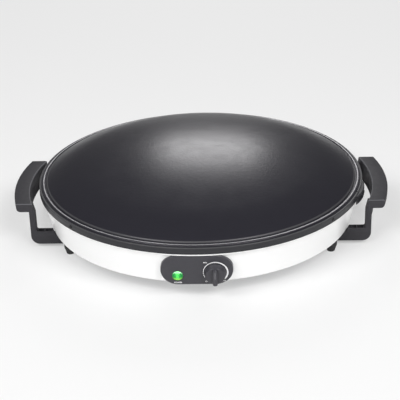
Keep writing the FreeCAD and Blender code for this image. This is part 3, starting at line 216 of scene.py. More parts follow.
def whirl(piece, steps, smooth=35.0):
    """Spin the section once round the upright axis."""
    bpy.ops.mesh.select_all(action="SELECT")
    bpy.ops.mesh.spin(steps=steps, angle=math.tau, center=(0.0, 0.0, 0.0), axis=(0.0, 0.0, 1.0))
    tidy(piece, smooth)


def block(low, high):
    """A box between two corners in millimetres, to cut or join with."""
    bpy.ops.object.select_all(action="DESELECT")
    low = Vector(low) * mm
    high = Vector(high) * mm
    bpy.ops.mesh.primitive_cube_add(size=1.0, location=(low + high) / 2.0)
    tool = bpy.context.object
    tool.scale = high - low
    bpy.ops.object.transform_apply(location=True, rotation=True, scale=True)
    return tool


def rod(x, y, low, high, radius):
    """An upright round bar in millimetres, to cut with."""
    bpy.ops.object.select_all(action="DESELECT")
    bpy.ops.mesh.primitive_cylinder_add(vertices=48, radius=radius * mm, depth=(high - low) * mm,
                                        location=(x * mm, y * mm, (low + high) / 2.0 * mm))
    tool = bpy.context.object
    bpy.ops.object.transform_apply(location=True, rotation=True, scale=True)
    return tool


def carve(piece, tool, way="DIFFERENCE"):
    """Cut a tool out of a piece, or join it on, and take the tool away."""
    bpy.ops.object.select_all(action="DESELECT")
    bpy.context.view_layer.objects.active = piece
    piece.select_set(True)
    change = piece.modifiers.new("change", "BOOLEAN")
    change.object = tool
    change.operation = way
    change.solver = "EXACT"
    bpy.ops.object.modifier_apply(modifier=change.name)
    bpy.data.objects.remove(tool)


def settle(piece, place):
    """Put a piece at its place and leave it unturned at the origin."""
    bpy.ops.object.select_all(action="DESELECT")
    piece.matrix_world = place
    bpy.context.view_layer.objects.active = piece
    piece.select_set(True)
    bpy.ops.object.transform_apply(location=True, rotation=True, scale=True)


def twin(piece, name, place):
    """A copy of a piece with a mesh of its own, put at its place."""
    copy = piece.copy()
    copy.data = piece.data.copy()
    copy.name = name
    bpy.context.collection.objects.link(copy)
    settle(copy, place)
    return copy


def mount(piece, material, slot, body, *nodes):
    """The piece takes its material, its body and the CAD nodes that it stands for. The slot argument is not
    used.
    """
    piece.data.materials.clear()
    piece.data.materials.append(material)
    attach(piece, body)
    if nodes:
        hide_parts(*nodes)


def pan_screw(name, radius, height, shank, length):
    """A pan-head screw that stands on z = 0, its shank below, with a cross recess in its crown."""
    crown = radius * 0.55
    shoulder = height * 0.5
    screw = begin(name, 0.0, height)
    trace(screw, (crown, height), (radius, shoulder), (radius, 0.0), (shank, 0.0), (shank, -length),
          (0.0, -length))
    soften(screw, (crown, height), (radius, shoulder), size=radius * 0.22, segments=3)
    whirl(screw, steps=32)
    wing = radius * 0.62
    slit = radius * 0.13
    floor = height * 0.35
    above = height * 2.0
    carve(screw, block((-wing, -slit, floor), (wing, slit, above)))
    carve(screw, block((-slit, -wing, floor), (slit, wing, above)))
    return screw


def facing(place, outward):
    """A place whose Z axis points outwards."""
    turn = Vector(outward).to_track_quat("Z", "Y").to_matrix().to_4x4()
    return Matrix.Translation(Vector(place) * mm) @ turn


bright_zinc = mottled(
    "bright_zinc", plain=(0.60, 0.61, 0.62), roughness=0.30, metallic=1.0,
    shades=((0.50, 0.51, 0.53), (0.68, 0.68, 0.67)), shade_grain=(900.0, 3.0),
    gloss=(0.22, 0.40), gloss_grain=(1400.0, 3.0))
cover_underside = 18.5
cover_screw_x = 97.4
cover_screw_y = 155.9
cover_screw = pan_screw("cover_screw", radius=3.2, height=2.2, shank=1.5, length=1.0)
for number, (x, y) in enumerate([(1, 1), (-1, 1), (-1, -1), (1, -1)], 1):
    spot = (x * cover_screw_x, y * cover_screw_y, cover_underside)
    screw = twin(cover_screw, f"cover_screw_{number}", facing(spot, (0.0, 0.0, -1.0)))
    mount(screw, bright_zinc, "screw_steel", "cooker", "cover_screws")
bpy.data.objects.remove(cover_screw)

# Feet
# Four moulded rubber feet: a plain collar against the cover, a tapered body and a
# ring-shaped sole. A screw from inside the cover goes into each.
black_rubber = mottled(
    "black_rubber", plain=(0.020, 0.020, 0.021), roughness=0.72,
    shades=((0.014, 0.014, 0.015), (0.034, 0.034, 0.035)), shade_grain=(240.0, 4.0),
    gloss=(0.62, 0.84), gloss_grain=(500.0, 3.0), bumps=(1600.0, 3.0, 0.05, 0.6))
foot_x = 165.56
foot_y = 83.0
sole_radius = 4.8
dimple_rim = 3.0
dimple_radius = 2.6
dimple_depth = 1.2
collar_radius = 7.5
collar_start = 9.0
foot_bore_radius = 1.6
foot_bore_end = 8.0
foot = begin("foot", 0.0, dimple_depth)
trace(foot, (dimple_radius, dimple_depth), (dimple_rim, 0.0), (sole_radius, 0.0),
      (collar_radius, collar_start), (collar_radius, cover_underside), (foot_bore_radius, cover_underside),
      (foot_bore_radius, foot_bore_end), (0.0, foot_bore_end))
soften(foot, (sole_radius, 0.0), (collar_radius, collar_start), size=0.5, segments=3)
soften(foot, (dimple_rim, 0.0), (collar_radius, cover_underside), size=0.3, segments=2)
whirl(foot, steps=48)
corners = (("front_right", 1, -1), ("rear_right", 1, 1), ("rear_left", -1, 1), ("front_left", -1, -1))
for corner, x, y in corners:
    place = Matrix.Translation(Vector((x * foot_x, y * foot_y, 0.0)) * mm)
    mount(twin(foot, f"rubber_{corner}", place), black_rubber, "foot_rubber", "cooker", f"foot_{corner}")
bpy.data.objects.remove(foot)
dress(bright_zinc, "foot_screws")


# Handles
# Two compression mouldings of black phenolic, each one piece: a curved grip with a
# finger guard down its inner side, two legs, and two troughed arms screwed under
# the base. The mould leaves every edge slightly rounded. A paler tone along the top
# of the grip's inner and end edges is a painted highlight.
def plan(tree):
    """The piece's own X, Y and Z, and its distance from the upright axis."""
    parts = tree.nodes.new("ShaderNodeSeparateXYZ")
    flat = tree.nodes.new("ShaderNodeCombineXYZ")
    reach = tree.nodes.new("ShaderNodeVectorMath")
    reach.operation = "LENGTH"
    tree.links.new(laid(tree), parts.inputs["Vector"])
    tree.links.new(parts.outputs["X"], flat.inputs["X"])
    tree.links.new(parts.outputs["Y"], flat.inputs["Y"])
    tree.links.new(flat.outputs["Vector"], reach.inputs[0])
    return parts.outputs, reach.outputs["Value"]


def sums(tree, operation, *values):
    """One sum worked on one or two patterns."""
    node = tree.nodes.new("ShaderNodeMath")
    node.operation = operation
    for socket, value in zip(node.inputs, values):
        tree.links.new(value, socket)
    return node.outputs["Value"]


def ring(tree, value, start, end, fade):
    """A band between two lengths in millimetres, faded at both sides."""
    rise = spread(tree, value, 0.0, 1.0, (start - fade) * mm, start * mm)
    fall = spread(tree, value, 1.0, 0.0, end * mm, (end + fade) * mm)
    return sums(tree, "MULTIPLY", rise, fall)


def swept(name, corners, rounds, half_turn, half_length, end_round):
    """A curved bar round the upright axis, cut square at both ends and rounded there."""
    turn = math.radians(half_turn)
    end = half_length * mm
    bar = begin(name, *corners[0])
    trace(bar, *corners[1:], corners[0])
    weld()
    for corner, size in zip(corners, rounds):
        soften(bar, corner, size=size, segments=5)
    bpy.ops.mesh.select_all(action="SELECT")
    bpy.ops.transform.rotate(value=turn, orient_axis="Z", center_override=(0.0, 0.0, 0.0))
    bpy.ops.mesh.spin(steps=48, angle=-2.0 * turn, center=(0.0, 0.0, 0.0), axis=(0.0, 0.0, 1.0))
    for side in (-1.0, 1.0):
        bpy.ops.mesh.select_all(action="SELECT")
        bpy.ops.mesh.bisect(plane_co=(0.0, side * end, 0.0), plane_no=(0.0, side, 0.0), use_fill=True,
                            clear_outer=True)
    bpy.ops.mesh.select_all(action="SELECT")
    bpy.ops.mesh.normals_make_consistent(inside=False)
    pick(bar, "EDGE", lambda e: all(abs(abs(v.co.y) - end) < 0.01 * mm for v in e.verts))
    bpy.ops.mesh.bevel(offset=end_round * mm, segments=4, affect="EDGES")
    tidy(bar)
    return bar


grip_inner = 222.5
grip_outer = 242.5
grip_top = 62.0
grip_bottom = 50.5
grip_half_length = 68.0
guard_outer = 225.5
guard_bottom = 34.0
black_phenolic, tree, surface = finish("black_phenolic", (0.034, 0.033, 0.038), roughness=0.50)
axes, reach = plan(tree)
# Painted highlight: a paler tone along the top of the grip's inner and end edges.
inner_edge = ring(tree, reach, grip_inner + 0.2, grip_inner + 1.0, fade=0.5)
end_edge = ring(tree, sums(tree, "ABSOLUTE", axes["Y"]), grip_half_length - 1.1, grip_half_length - 0.5,
                fade=0.4)
near_top = spread(tree, axes["Z"], 0.0, 1.0, (grip_top - 1.8) * mm, (grip_top - 0.8) * mm)
grip_highlight_mask = sums(tree, "MULTIPLY", sums(tree, "MAXIMUM", inner_edge, end_edge), near_top)
moulding = tone(tree, grain(tree, 160.0, 5.0), (0.038, 0.037, 0.041), (0.047, 0.046, 0.051))
grip_highlight_tone = (0.12, 0.12, 0.13)
tree.links.new(tone(tree, grip_highlight_mask, moulding, grip_highlight_tone), surface.inputs["Base Color"])
tree.links.new(spread(tree, grain(tree, 220.0, 4.0), low=0.46, high=0.56), surface.inputs["Roughness"])
surface.inputs["Specular IOR Level"].default_value = 0.11
relief(tree, surface, grain(tree, 1500.0, 3.0), depth=0.05, strength=0.5)
right_handle = swept("right_handle_moulding",
                     corners=[(grip_inner, grip_top), (grip_outer, grip_top), (grip_outer, grip_bottom),
                              (guard_outer, grip_bottom), (guard_outer, guard_bottom),
                              (grip_inner, guard_bottom)],
                     rounds=[1.7, 1.7, 4.5, 1.5, 1.2, 1.2], half_turn=24.0,
                     half_length=grip_half_length, end_round=1.3)
leg_outer = 217.27
leg_inner = 209.77
leg_top = 60.1
leg_bend = 48.0
leg_lean = 2.83
arm_bottom = 5.0
arm_top = 23.0
arm_end = 165.9
pad_end = 181.0
arm_front = -67.9
arm_width = 10.4
arm_edge_round = 0.7
arm = begin("arm", leg_outer, leg_top)
trace(arm, (leg_outer, arm_bottom), (arm_end, arm_bottom), (arm_end, cover_underside),
      (pad_end, cover_underside), (pad_end, arm_top), (leg_inner, arm_top), (leg_inner, leg_bend),
      (leg_inner + leg_lean, leg_top))
soften(arm, (leg_outer, arm_bottom), size=11.0, segments=10)
soften(arm, (leg_inner, arm_top), size=2.0, segments=5)
bpy.ops.mesh.select_all(action="SELECT")
bpy.ops.mesh.edge_face_add()
bpy.ops.transform.translate(value=(0.0, arm_front * mm, 0.0))
bpy.ops.mesh.extrude_region_move(TRANSFORM_OT_translate={"value": (0.0, arm_width * mm, 0.0)})
pick(arm, "EDGE", lambda e: abs(e.verts[0].co.y - e.verts[1].co.y) < 0.01 * mm)
bpy.ops.mesh.bevel(offset=arm_edge_round * mm, segments=3, affect="EDGES")
tidy(arm)
shell_foot = 198.8
shell_bottom = 18.45
carve(arm, rod(0.0, 0.0, low=shell_bottom, high=arm_top + 7.0, radius=shell_foot))
trough_front = -66.7
trough_back = -58.8
trough_floor = 8.0
trough_open = 26.0
trough_runs = ((189.6, 198.7), (200.2, 208.1))
for start, end in trough_runs:
    carve(arm, block((start, trough_front, trough_floor), (end, trough_back, trough_open)))
handle_screw_x = 174.9
handle_screw_y = -62.75
head_bore_radius = 3.9
head_bore_end = 13.0
shank_bore_radius = 2.1
carve(arm, rod(handle_screw_x, handle_screw_y, low=arm_bottom - 2.0, high=head_bore_end,
               radius=head_bore_radius))
carve(arm, rod(handle_screw_x, handle_screw_y, low=head_bore_end - 1.0, high=cover_underside + 1.5,
               radius=shank_bore_radius))
bpy.context.view_layer.objects.active = arm
arm.modifiers.new("mirror", "MIRROR").use_axis = (False, True, False)
bpy.ops.object.modifier_apply(modifier="mirror")
carve(right_handle, arm, "UNION")
bpy.ops.object.mode_set(mode="EDIT")
tidy(right_handle, smooth=40.0)
left_handle = twin(right_handle, "left_handle_moulding", Matrix.Rotation(math.pi, 4, "Z"))
mount(right_handle, black_phenolic, "handle_plastic", "cooker", "right_handle")
mount(left_handle, black_phenolic, "handle_plastic", "cooker", "left_handle")
dress(bright_zinc, "handle_screws")

# Base shell
# One deep-drawn sheet of steel: a slightly flared wall with a rolled lip, painted
# with white enamel. It carries the cooking plate on the ledge inside the lip.
white_enamel = mottled(
    "white_enamel", plain=(0.90, 0.90, 0.898), roughness=0.26,
    shades=((0.893, 0.893, 0.890), (0.906, 0.906, 0.904)), shade_grain=(240.0, 3.0),
    gloss=(0.24, 0.27), gloss_grain=(320.0, 2.0), bumps=(60.0, 1.0, 0.02, 0.15))
dress(white_enamel, "base_shell")

# Heater
# A ring of sheathed heating element, clamped up against the plate over a bright
# reflector, with the copper bulb and capillary of the thermostat beside it.
rolling_stretch = (12.0, 1.0, 1.0)
sheath_steel = mottled(
    "sheath_steel", plain=(0.20, 0.18, 0.16), roughness=0.45, metallic=1.0,
    shades=((0.12, 0.10, 0.10), (0.30, 0.25, 0.20)), shade_grain=(55.0, 4.0),
    gloss=(0.36, 0.58), gloss_grain=(300.0, 3.0))
bright_aluminium = mottled(
    "bright_aluminium", plain=(0.76, 0.77, 0.78), roughness=0.28, metallic=1.0,
    shades=((0.70, 0.71, 0.72), (0.80, 0.80, 0.81)), shade_grain=(40.0, 3.0, rolling_stretch),
    gloss=(0.20, 0.38), gloss_grain=(90.0, 4.0, rolling_stretch))
drawn_copper = mottled(
    "drawn_copper", plain=(0.72, 0.38, 0.22), roughness=0.32, metallic=1.0,
    shades=((0.55, 0.27, 0.16), (0.78, 0.44, 0.27)), shade_grain=(120.0, 4.0),
    gloss=(0.26, 0.44), gloss_grain=(400.0, 3.0))
dress(sheath_steel, "heating_element")
dress(zinc_plate, "element_clamps")
dress(bright_zinc, "clamp_studs", "reflector_spacers", "stud_nuts")
dress(bright_aluminium, "heat_reflector")
dress(drawn_copper, "sensor_bulb", "capillary_tube")

# Wiring
# Silicone-sleeved leads run from a glazed ceramic block to the element, the
# thermostat and the pilot lamp, each end under a terminal screw.
white_ceramic = mottled(
    "white_ceramic", plain=(0.78, 0.76, 0.71), roughness=0.30,
    shades=((0.74, 0.72, 0.66), (0.82, 0.80, 0.76)), shade_grain=(260.0, 4.0),
    gloss=(0.22, 0.40), gloss_grain=(180.0, 3.0))
silicone_sleeve = mottled(
    "silicone_sleeve", plain=(0.62, 0.60, 0.56), roughness=0.62,
    shades=((0.55, 0.53, 0.49), (0.68, 0.66, 0.62)), shade_grain=(700.0, 3.0),
    gloss=(0.54, 0.72), gloss_grain=(900.0, 3.0))
dress(white_ceramic, "terminal_block")
dress(bright_zinc, "terminal_screws")
dress(silicone_sleeve, "element_lead_left", "element_lead_right", "thermostat_lead_left",
      "thermostat_lead_right", "lamp_lead_left", "lamp_lead_right")

# Cooking plate
# A shallow dome pressed from thick aluminium and sprayed with a black non-stick
# coating. A turned groove and a rounded bead run round its foot, above the skirt
# that the rim band grips. A paler ring on the dome's rounded edge and a pale metal
# ring on the bead are painted highlights.
plate_top = 112.0
plate_thickness = 5.5
crown_centre = Vector((0.0, 0.0, -538.054)) * mm
crown_turn = math.radians(13.341)
shoulder_centre = Vector((105.955, 0.0, -91.254)) * mm
shoulder_turn = math.radians(16.076)
dome_edge = 199.7
groove_inner = 200.5
groove_outer = 202.3
groove_floor = 72.6
bead_inner = 203.1
bead_top = 73.9
plate_radius = 207.2
skirt_inner = 203.2
skirt_bottom = 64.0
skirt_ceiling = 69.5
dark_coat = (0.018, 0.0175, 0.023)
coat_fleck = (0.037, 0.035, 0.043)
# Painted highlight tone, laid on the rounded edges of the dome and the band.
edge_highlight_tone = (0.060, 0.060, 0.064)
black_coating, tree, surface = finish("black_coating", (0.015, 0.015, 0.017), roughness=0.36)
reach = plan(tree)[1]
fleck = spread(tree, cells(tree, scale=900.0)["Distance"], 1.0, 0.0, 0.04, 0.16)
coat = tone(tree, fleck, dark_coat, coat_fleck)
# Painted highlight: a paler ring on the rounded edge of the dome.
coat = tone(tree, ring(tree, reach, dome_edge - 0.7, dome_edge + 0.1, fade=0.6), coat, edge_highlight_tone)
# Painted highlight: a pale, partly metallic ring along the bead, with rougher gloss there.
bead_highlight_mask = ring(tree, reach, bead_inner + 0.3, bead_inner + 1.2, fade=0.5)
bead_highlight_metal = tone(tree, grain(tree, 220.0, 4.0), (0.20, 0.20, 0.207), (0.50, 0.50, 0.51))
tree.links.new(tone(tree, bead_highlight_mask, coat, bead_highlight_metal), surface.inputs["Base Color"])
tree.links.new(spread(tree, bead_highlight_mask, 0.0, 0.8, 0.0, 1.0), surface.inputs["Metallic"])
satin = spread(tree, grain(tree, 45.0, 5.0, rough=0.6), low=0.28, high=0.34)
bead_roughness = spread(tree, bead_highlight_mask, 0.0, 0.48, 0.0, 1.0)
tree.links.new(sums(tree, "MAXIMUM", satin, bead_roughness), surface.inputs["Roughness"])
surface.inputs["Specular IOR Level"].default_value = 0.34
surface.inputs["Specular Tint"].default_value = (1.0, 0.955, 1.0, 1.0)
relief(tree, surface, grain(tree, 260.0, 2.0), depth=0.09)
relief(tree, surface, grain(tree, 700.0, 3.0), depth=0.06, strength=0.5)
plate = begin("coated_plate", 0.0, plate_top)
bpy.ops.mesh.spin(steps=24, angle=-crown_turn, center=crown_centre, axis=(0.0, 1.0, 0.0))
bpy.ops.mesh.spin(steps=16, angle=-shoulder_turn, center=shoulder_centre, axis=(0.0, 1.0, 0.0))
edge = next(v.co.copy() for v in bmesh.from_edit_mesh(plate.data).verts if v.select) / mm
trace(plate, (groove_inner, groove_floor), (groove_outer, groove_floor), (bead_inner, bead_top),
      (plate_radius, bead_top), (plate_radius, skirt_bottom), (skirt_inner, skirt_bottom),
      (skirt_inner, skirt_ceiling), (dome_edge, skirt_ceiling))
under = Vector((0.0, 0.0, plate_thickness)) * mm
bpy.ops.mesh.spin(steps=10, angle=shoulder_turn, center=shoulder_centre - under, axis=(0.0, 1.0, 0.0))
bpy.ops.mesh.spin(steps=16, angle=crown_turn, center=crown_centre - under, axis=(0.0, 1.0, 0.0))
soften(plate, (edge.x, edge.z), size=0.8, segments=4)
soften(plate, (bead_inner, bead_top), size=0.6, segments=3)
soften(plate, (plate_radius, bead_top), size=1.5, segments=5)
soften(plate, (plate_radius, skirt_bottom), size=0.5, segments=2)
whirl(plate, steps=240, smooth=30.0)
mount(plate, black_coating, "plate_coating", "cooker", "cooking_plate")

# Rim band
# A strip of steel rolled round the foot of the plate and enamelled black. Its ends
# meet under a bowed clasp, and small black screws hold it to the skirt. A paler tone
# along its top edge is a painted highlight.
band_radius = 210.0
band_edge_start = 71.2
band_edge_end = 71.7
rim_screw_height = 68.0
clasp_radius = 214.3
clasp_angle = -14.5
clasp_screw_height = 67.4
black_enamel, tree, surface = finish("black_enamel", (0.024, 0.024, 0.027), roughness=0.36)
axes = plan(tree)[0]
# Painted highlight: a paler tone along the band's top edge.
band_top_highlight_mask = spread(tree, axes["Z"], 0.0, 1.0, band_edge_start * mm, band_edge_end * mm)
body_tone = tone(tree, grain(tree, 90.0, 4.0), (0.020, 0.020, 0.023), (0.029, 0.029, 0.033))
tree.links.new(tone(tree, band_top_highlight_mask, body_tone, edge_highlight_tone), surface.inputs["Base Color"])
tree.links.new(spread(tree, grain(tree, 120.0, 3.0), low=0.30, high=0.42), surface.inputs["Roughness"])
surface.inputs["Specular IOR Level"].default_value = 0.30
relief(tree, surface, grain(tree, 800.0, 2.0), depth=0.03, strength=0.5)
dress(black_enamel, "rim_band", "band_clasp")
black_oxide = mottled(
    "black_oxide", plain=(0.014, 0.014, 0.015), roughness=0.34, metallic=0.3,
    shades=((0.008, 0.008, 0.009), (0.024, 0.024, 0.025)), shade_grain=(900.0, 3.0),
    gloss=(0.28, 0.46), gloss_grain=(1400.0, 3.0))


def on_rim(angle, radius, height):
    """A place on the rim that faces outwards."""
    out = Vector((math.cos(math.radians(angle)), math.sin(math.radians(angle)), 0.0))
    return facing((out.x * radius, out.y * radius, height), out)


rim_screw = pan_screw("rim_screw", radius=2.4, height=1.1, shank=1.1, length=1.5)
rim_screw_angles = (-38.9, 43.1, 141.1, 223.1)
for number, angle in enumerate(rim_screw_angles, 1):
    screw = twin(rim_screw, f"rim_screw_{number}", on_rim(angle, band_radius, rim_screw_height))
    mount(screw, black_oxide, "screw_steel", "cooker", "rim_screws")
screw = twin(rim_screw, "clasp_screw_1", on_rim(clasp_angle, clasp_radius, clasp_screw_height))
mount(screw, black_oxide, "screw_steel", "cooker", "clasp_screw")
bpy.data.objects.remove(rim_screw)

# Control panel
# A pill-shaped phenolic escutcheon on the front of the shell. Behind it a steel
# plate carries the thermostat, whose spindle comes out through the panel.
grey_phenolic = mottled(
    "grey_phenolic", plain=(0.036, 0.035, 0.042), roughness=0.44,
    shades=((0.032, 0.031, 0.038), (0.041, 0.040, 0.048)), shade_grain=(260.0, 5.0),
    gloss=(0.40, 0.50), gloss_grain=(300.0, 4.0), bumps=(1800.0, 3.0, 0.04, 0.5))
brown_phenolic = mottled(
    "brown_phenolic", plain=(0.075, 0.045, 0.030), roughness=0.42,
    shades=((0.055, 0.034, 0.024), (0.095, 0.058, 0.038)), shade_grain=(200.0, 5.0),
    gloss=(0.34, 0.54), gloss_grain=(300.0, 3.0))
clear_amber = mottled(
    "clear_amber", plain=(0.70, 0.62, 0.46), roughness=0.25,
    shades=((0.62, 0.54, 0.38), (0.78, 0.70, 0.54)), shade_grain=(300.0, 3.0),
    gloss=(0.18, 0.34), gloss_grain=(400.0, 3.0))
dress(grey_phenolic, "control_panel")
dress(zinc_plate, "control_plate")
dress(bright_zinc, "panel_screws", "thermostat_nut", "thermostat_spindle")
dress(brown_phenolic, "thermostat")
dress(clear_amber, "pilot_lamp")

# Panel print
# Pale grey screen print on the panel: a dial strip that widens round the knob, two
# dashes where it starts, and plain words round the dial and under the lamp.
turning = frame["record"]["behaviour"]["joints"][0]
outward = -Vector(turning["axis"])
across = Vector((1.0, 0.0, 0.0))
dial_place = Matrix((across, outward.cross(across), outward)).transposed().to_4x4()
dial_place.translation = Vector(turning["pos_m"])
pale_print = mottled(
    "pale_print", plain=(0.84, 0.84, 0.85), roughness=0.55,
    shades=((0.76, 0.76, 0.77), (0.90, 0.90, 0.91)), shade_grain=(2500.0, 3.0),
    gloss=(0.46, 0.64), gloss_grain=(1500.0, 3.0))
print_depth = 0.05
dial_inner = 13.6


def arc(start, sweep, radius, shift):
    """An arc in the dial's plane, from the one point that is selected."""
    first = ((math.cos(start) * radius + shift) * mm, math.sin(start) * radius * mm, 0.0)
    bpy.ops.transform.translate(value=first)
    bpy.ops.mesh.spin(steps=64, angle=sweep, center=(shift * mm, 0.0, 0.0), axis=(0.0, 0.0, 1.0))
    bpy.ops.mesh.select_all(action="DESELECT")


def dial_strip(name, start, sweep, outer, shift):
    """A flat strip between two arcs, the outer one shifted so that the strip widens."""
    start = math.radians(start)
    sweep = math.radians(sweep)
    strip = begin(name, 0.0, 0.0)
    arc(start, sweep, dial_inner, 0.0)
    bpy.ops.mesh.primitive_plane_add(size=1.0 * mm, location=(0.0, 0.0, 0.0))
    bpy.ops.mesh.merge(type="CENTER")
    arc(start, sweep, outer, shift)
    bpy.ops.mesh.select_all(action="SELECT")
    bpy.ops.mesh.bridge_edge_loops()
    bpy.ops.mesh.extrude_region_move(TRANSFORM_OT_translate={"value": (0.0, 0.0, print_depth * mm)})
    tidy(strip)
    return strip


def word_print(word, x, y, size):
    """A printed word, centred on a place of the dial's plane in millimetres."""
    bpy.ops.object.select_all(action="DESELECT")
    bpy.ops.object.text_add(location=(0.0, 0.0, 0.0))
    label = bpy.context.object
    label.name = f"word_{word.lower()}"
    label.data.body = word
    label.data.size = size * mm
    label.data.align_x = "CENTER"
    label.data.align_y = "CENTER"
    label.data.extrude = print_depth / 2.0 * mm
    label.data.offset = 0.05 * mm
    bpy.ops.object.convert(target="MESH")
    bpy.ops.object.mode_set(mode="EDIT")
    tidy(label)
    settle(label, dial_place @ Matrix.Translation(Vector((x, y, print_depth / 2.0)) * mm))
    mount(label, pale_print, "panel_plastic", "cooker")


strip = dial_strip("dial_strip", start=192.0, sweep=234.0, outer=14.95, shift=0.6)
settle(strip, dial_place)
mount(strip, pale_print, "panel_plastic", "cooker")
dash_pitch = 9.0
dash = dial_strip("dial_dash", start=201.0, sweep=5.0, outer=14.6, shift=0.0)
for number in range(2):
    turn = Matrix.Rotation(math.radians(dash_pitch * number), 4, "Z")
    mount(twin(dash, f"dial_dash_{number + 1}", dial_place @ turn), pale_print, "panel_plastic", "cooker")
bpy.data.objects.remove(dash)
word_print("MIN", x=-11.5, y=14.0, size=2.5)
word_print("OFF", x=-9.5, y=-13.4, size=2.7)
word_print("MAX", x=9.5, y=-12.6, size=2.7)
word_print("POWER", x=-43.9, y=-14.6, size=2.7)

# Pilot lens
# A clear green moulding, cut in facets like a jewel and lit by the lamp behind it.
# Its barrel is pushed into the panel. It glows by emission for the lit lamp, and its
# facets are coloured by the way they face: a painted highlight on the upper facets,
# painted shade on the side facets and painted yellow-green light on the lower ones.
lens_x = -44.2
lens_y = -4.8
lens_radius = 6.4
lens_crown = 2.4
lens_depth = 4.8
table_radius = 2.0
table_height = 2.3
facet_radius = 4.2
facet_height = 1.6
girdle_radius = 5.7
girdle_height = 0.7
facets = 14
shade_green = (0.0, 0.20, 0.035)
face_green = (0.07, 0.62, 0.09)
highlight_green = (0.40, 0.95, 0.46)
lower_light_green = (0.24, 0.66, 0.07)
lit_green, tree, surface = finish("lit_green", (0.05, 0.62, 0.10), roughness=0.10)
facet = tree.nodes.new("ShaderNodeTexCoord")
parts = tree.nodes.new("ShaderNodeSeparateXYZ")
tree.links.new(facet.outputs["Normal"], parts.inputs["Vector"])
# Painted light by facet direction: highlight on upper facets, shade on side facets, yellow-green light on
# lower facets.
side_shade_mask = spread(tree, sums(tree, "ABSOLUTE", parts.outputs["X"]), 0.0, 1.0, 0.06, 0.34)
top_highlight_mask = spread(tree, parts.outputs["Z"], 0.0, 1.0, 0.24, 0.50)
lower_light_mask = spread(tree, parts.outputs["Z"], 1.0, 0.0, -0.55, -0.22)
green = tone(tree, side_shade_mask, face_green, shade_green)
green = tone(tree, top_highlight_mask, green, highlight_green)
green = tone(tree, lower_light_mask, green, lower_light_green)
tree.links.new(green, surface.inputs["Base Color"])
tree.links.new(green, surface.inputs["Emission Color"])
surface.inputs["Emission Strength"].default_value = 0.32
surface.inputs["Specular IOR Level"].default_value = 0.35
tree.links.new(spread(tree, grain(tree, 500.0, 2.0), low=0.06, high=0.16), surface.inputs["Roughness"])
jewel = begin("lens_jewel", 0.0, lens_crown)
trace(jewel, (table_radius, table_height), (facet_radius, facet_height), (girdle_radius, girdle_height),
      (lens_radius, 0.0), (lens_radius, -lens_depth), (0.0, -lens_depth))
bpy.ops.mesh.select_all(action="SELECT")
bpy.ops.mesh.spin(steps=facets, angle=math.tau, center=(0.0, 0.0, 0.0), axis=(0.0, 0.0, 1.0))
weld()
pick(jewel, "VERT", lambda v: abs(v.co.z - facet_height * mm) < 0.01 * mm)
bpy.ops.transform.rotate(value=math.pi / facets, orient_axis="Z", center_override=(0.0, 0.0, 0.0))
bpy.ops.mesh.select_all(action="SELECT")
bpy.ops.mesh.quads_convert_to_tris(quad_method="SHORTEST_DIAGONAL")
tidy(jewel, smooth=3.0)
settle(jewel, dial_place @ Matrix.Translation(Vector((lens_x, lens_y, 0.0)) * mm))
mount(jewel, lit_green, "lens_green", "cooker", "pilot_lens")

# Knob
# A phenolic knob pressed on the spindle's flat: a low skirt, a coned body and a
# raised bar across it to turn it by. A pale strip laid along the bar's crest is a
# painted highlight.
knob_bottom = 0.8
knob_radius = 12.8
knob_skirt_top = 3.4
knob_cone_start = 4.0
knob_cone_radius = 12.3
knob_crown_radius = 11.4
knob_crown = 8.8
bar_half_width = 3.0
bar_tip = -11.7
bar_tail = 11.4
bar_bottom = 4.5
bar_top = 12.33
bar_taper = (0.92, 0.985, 1.0)
bar_corner_round = 2.1
bar_edge_round = 0.9
spindle_bore = 3.05
spindle_bore_end = 8.4
knob = begin("knob_moulding", 0.0, knob_crown)
trace(knob, (knob_crown_radius, knob_crown), (knob_cone_radius, knob_cone_start),
      (knob_radius, knob_skirt_top), (knob_radius, knob_bottom), (0.0, knob_bottom))
soften(knob, (knob_crown_radius, knob_crown), size=0.9, segments=4)
soften(knob, (knob_radius, knob_skirt_top), (knob_radius, knob_bottom), size=0.3, segments=2)
whirl(knob, steps=72)
bar = block((-bar_half_width, bar_tip, bar_bottom), (bar_half_width, bar_tail, bar_top))
bpy.ops.object.mode_set(mode="EDIT")
pick(bar, "FACE", lambda f: f.normal.z > 0.9)
bpy.ops.transform.resize(value=bar_taper)
pick(bar, "EDGE", lambda e: abs(e.verts[0].co.z - e.verts[1].co.z) > 5.0 * mm)
bpy.ops.mesh.bevel(offset=bar_corner_round * mm, segments=6, affect="EDGES")
pick(bar, "EDGE", lambda e: all(v.co.z > (bar_top - 0.01) * mm for v in e.verts))
bpy.ops.mesh.bevel(offset=bar_edge_round * mm, segments=4, affect="EDGES")
tidy(bar)
carve(knob, bar, "UNION")
carve(knob, rod(0.0, 0.0, low=-1.0, high=spindle_bore_end, radius=spindle_bore))
bpy.ops.object.mode_set(mode="EDIT")
tidy(knob, smooth=40.0)
settle(knob, dial_place)
mount(knob, grey_phenolic, "knob_plastic", "knob", "thermostat_knob")
# Painted highlight: a pale strip on the crest of the bar, made as a piece of its own.
knob_highlight_strip = mottled(
    "knob_highlight_strip", plain=(0.16, 0.16, 0.17), roughness=0.5,
    shades=((0.12, 0.12, 0.13), (0.20, 0.20, 0.21)), shade_grain=(1200.0, 3.0),
    gloss=(0.42, 0.58), gloss_grain=(900.0, 3.0))
line_half_width = 0.4
line_start = -1.5
line_end = 8.0
line_sink = 0.03
line_rise = 0.05
line_corner_round = 0.35
line = block((-line_half_width, line_start, bar_top - line_sink),
             (line_half_width, line_end, bar_top + line_rise))
line.name = "knob_highlight_line"
bpy.ops.object.mode_set(mode="EDIT")
pick(line, "EDGE", lambda e: abs(e.verts[0].co.z - e.verts[1].co.z) > 0.05 * mm)
bpy.ops.mesh.bevel(offset=line_corner_round * mm, segments=4, affect="EDGES")
tidy(line)
settle(line, dial_place)
mount(line, knob_highlight_strip, "knob_plastic", "knob")

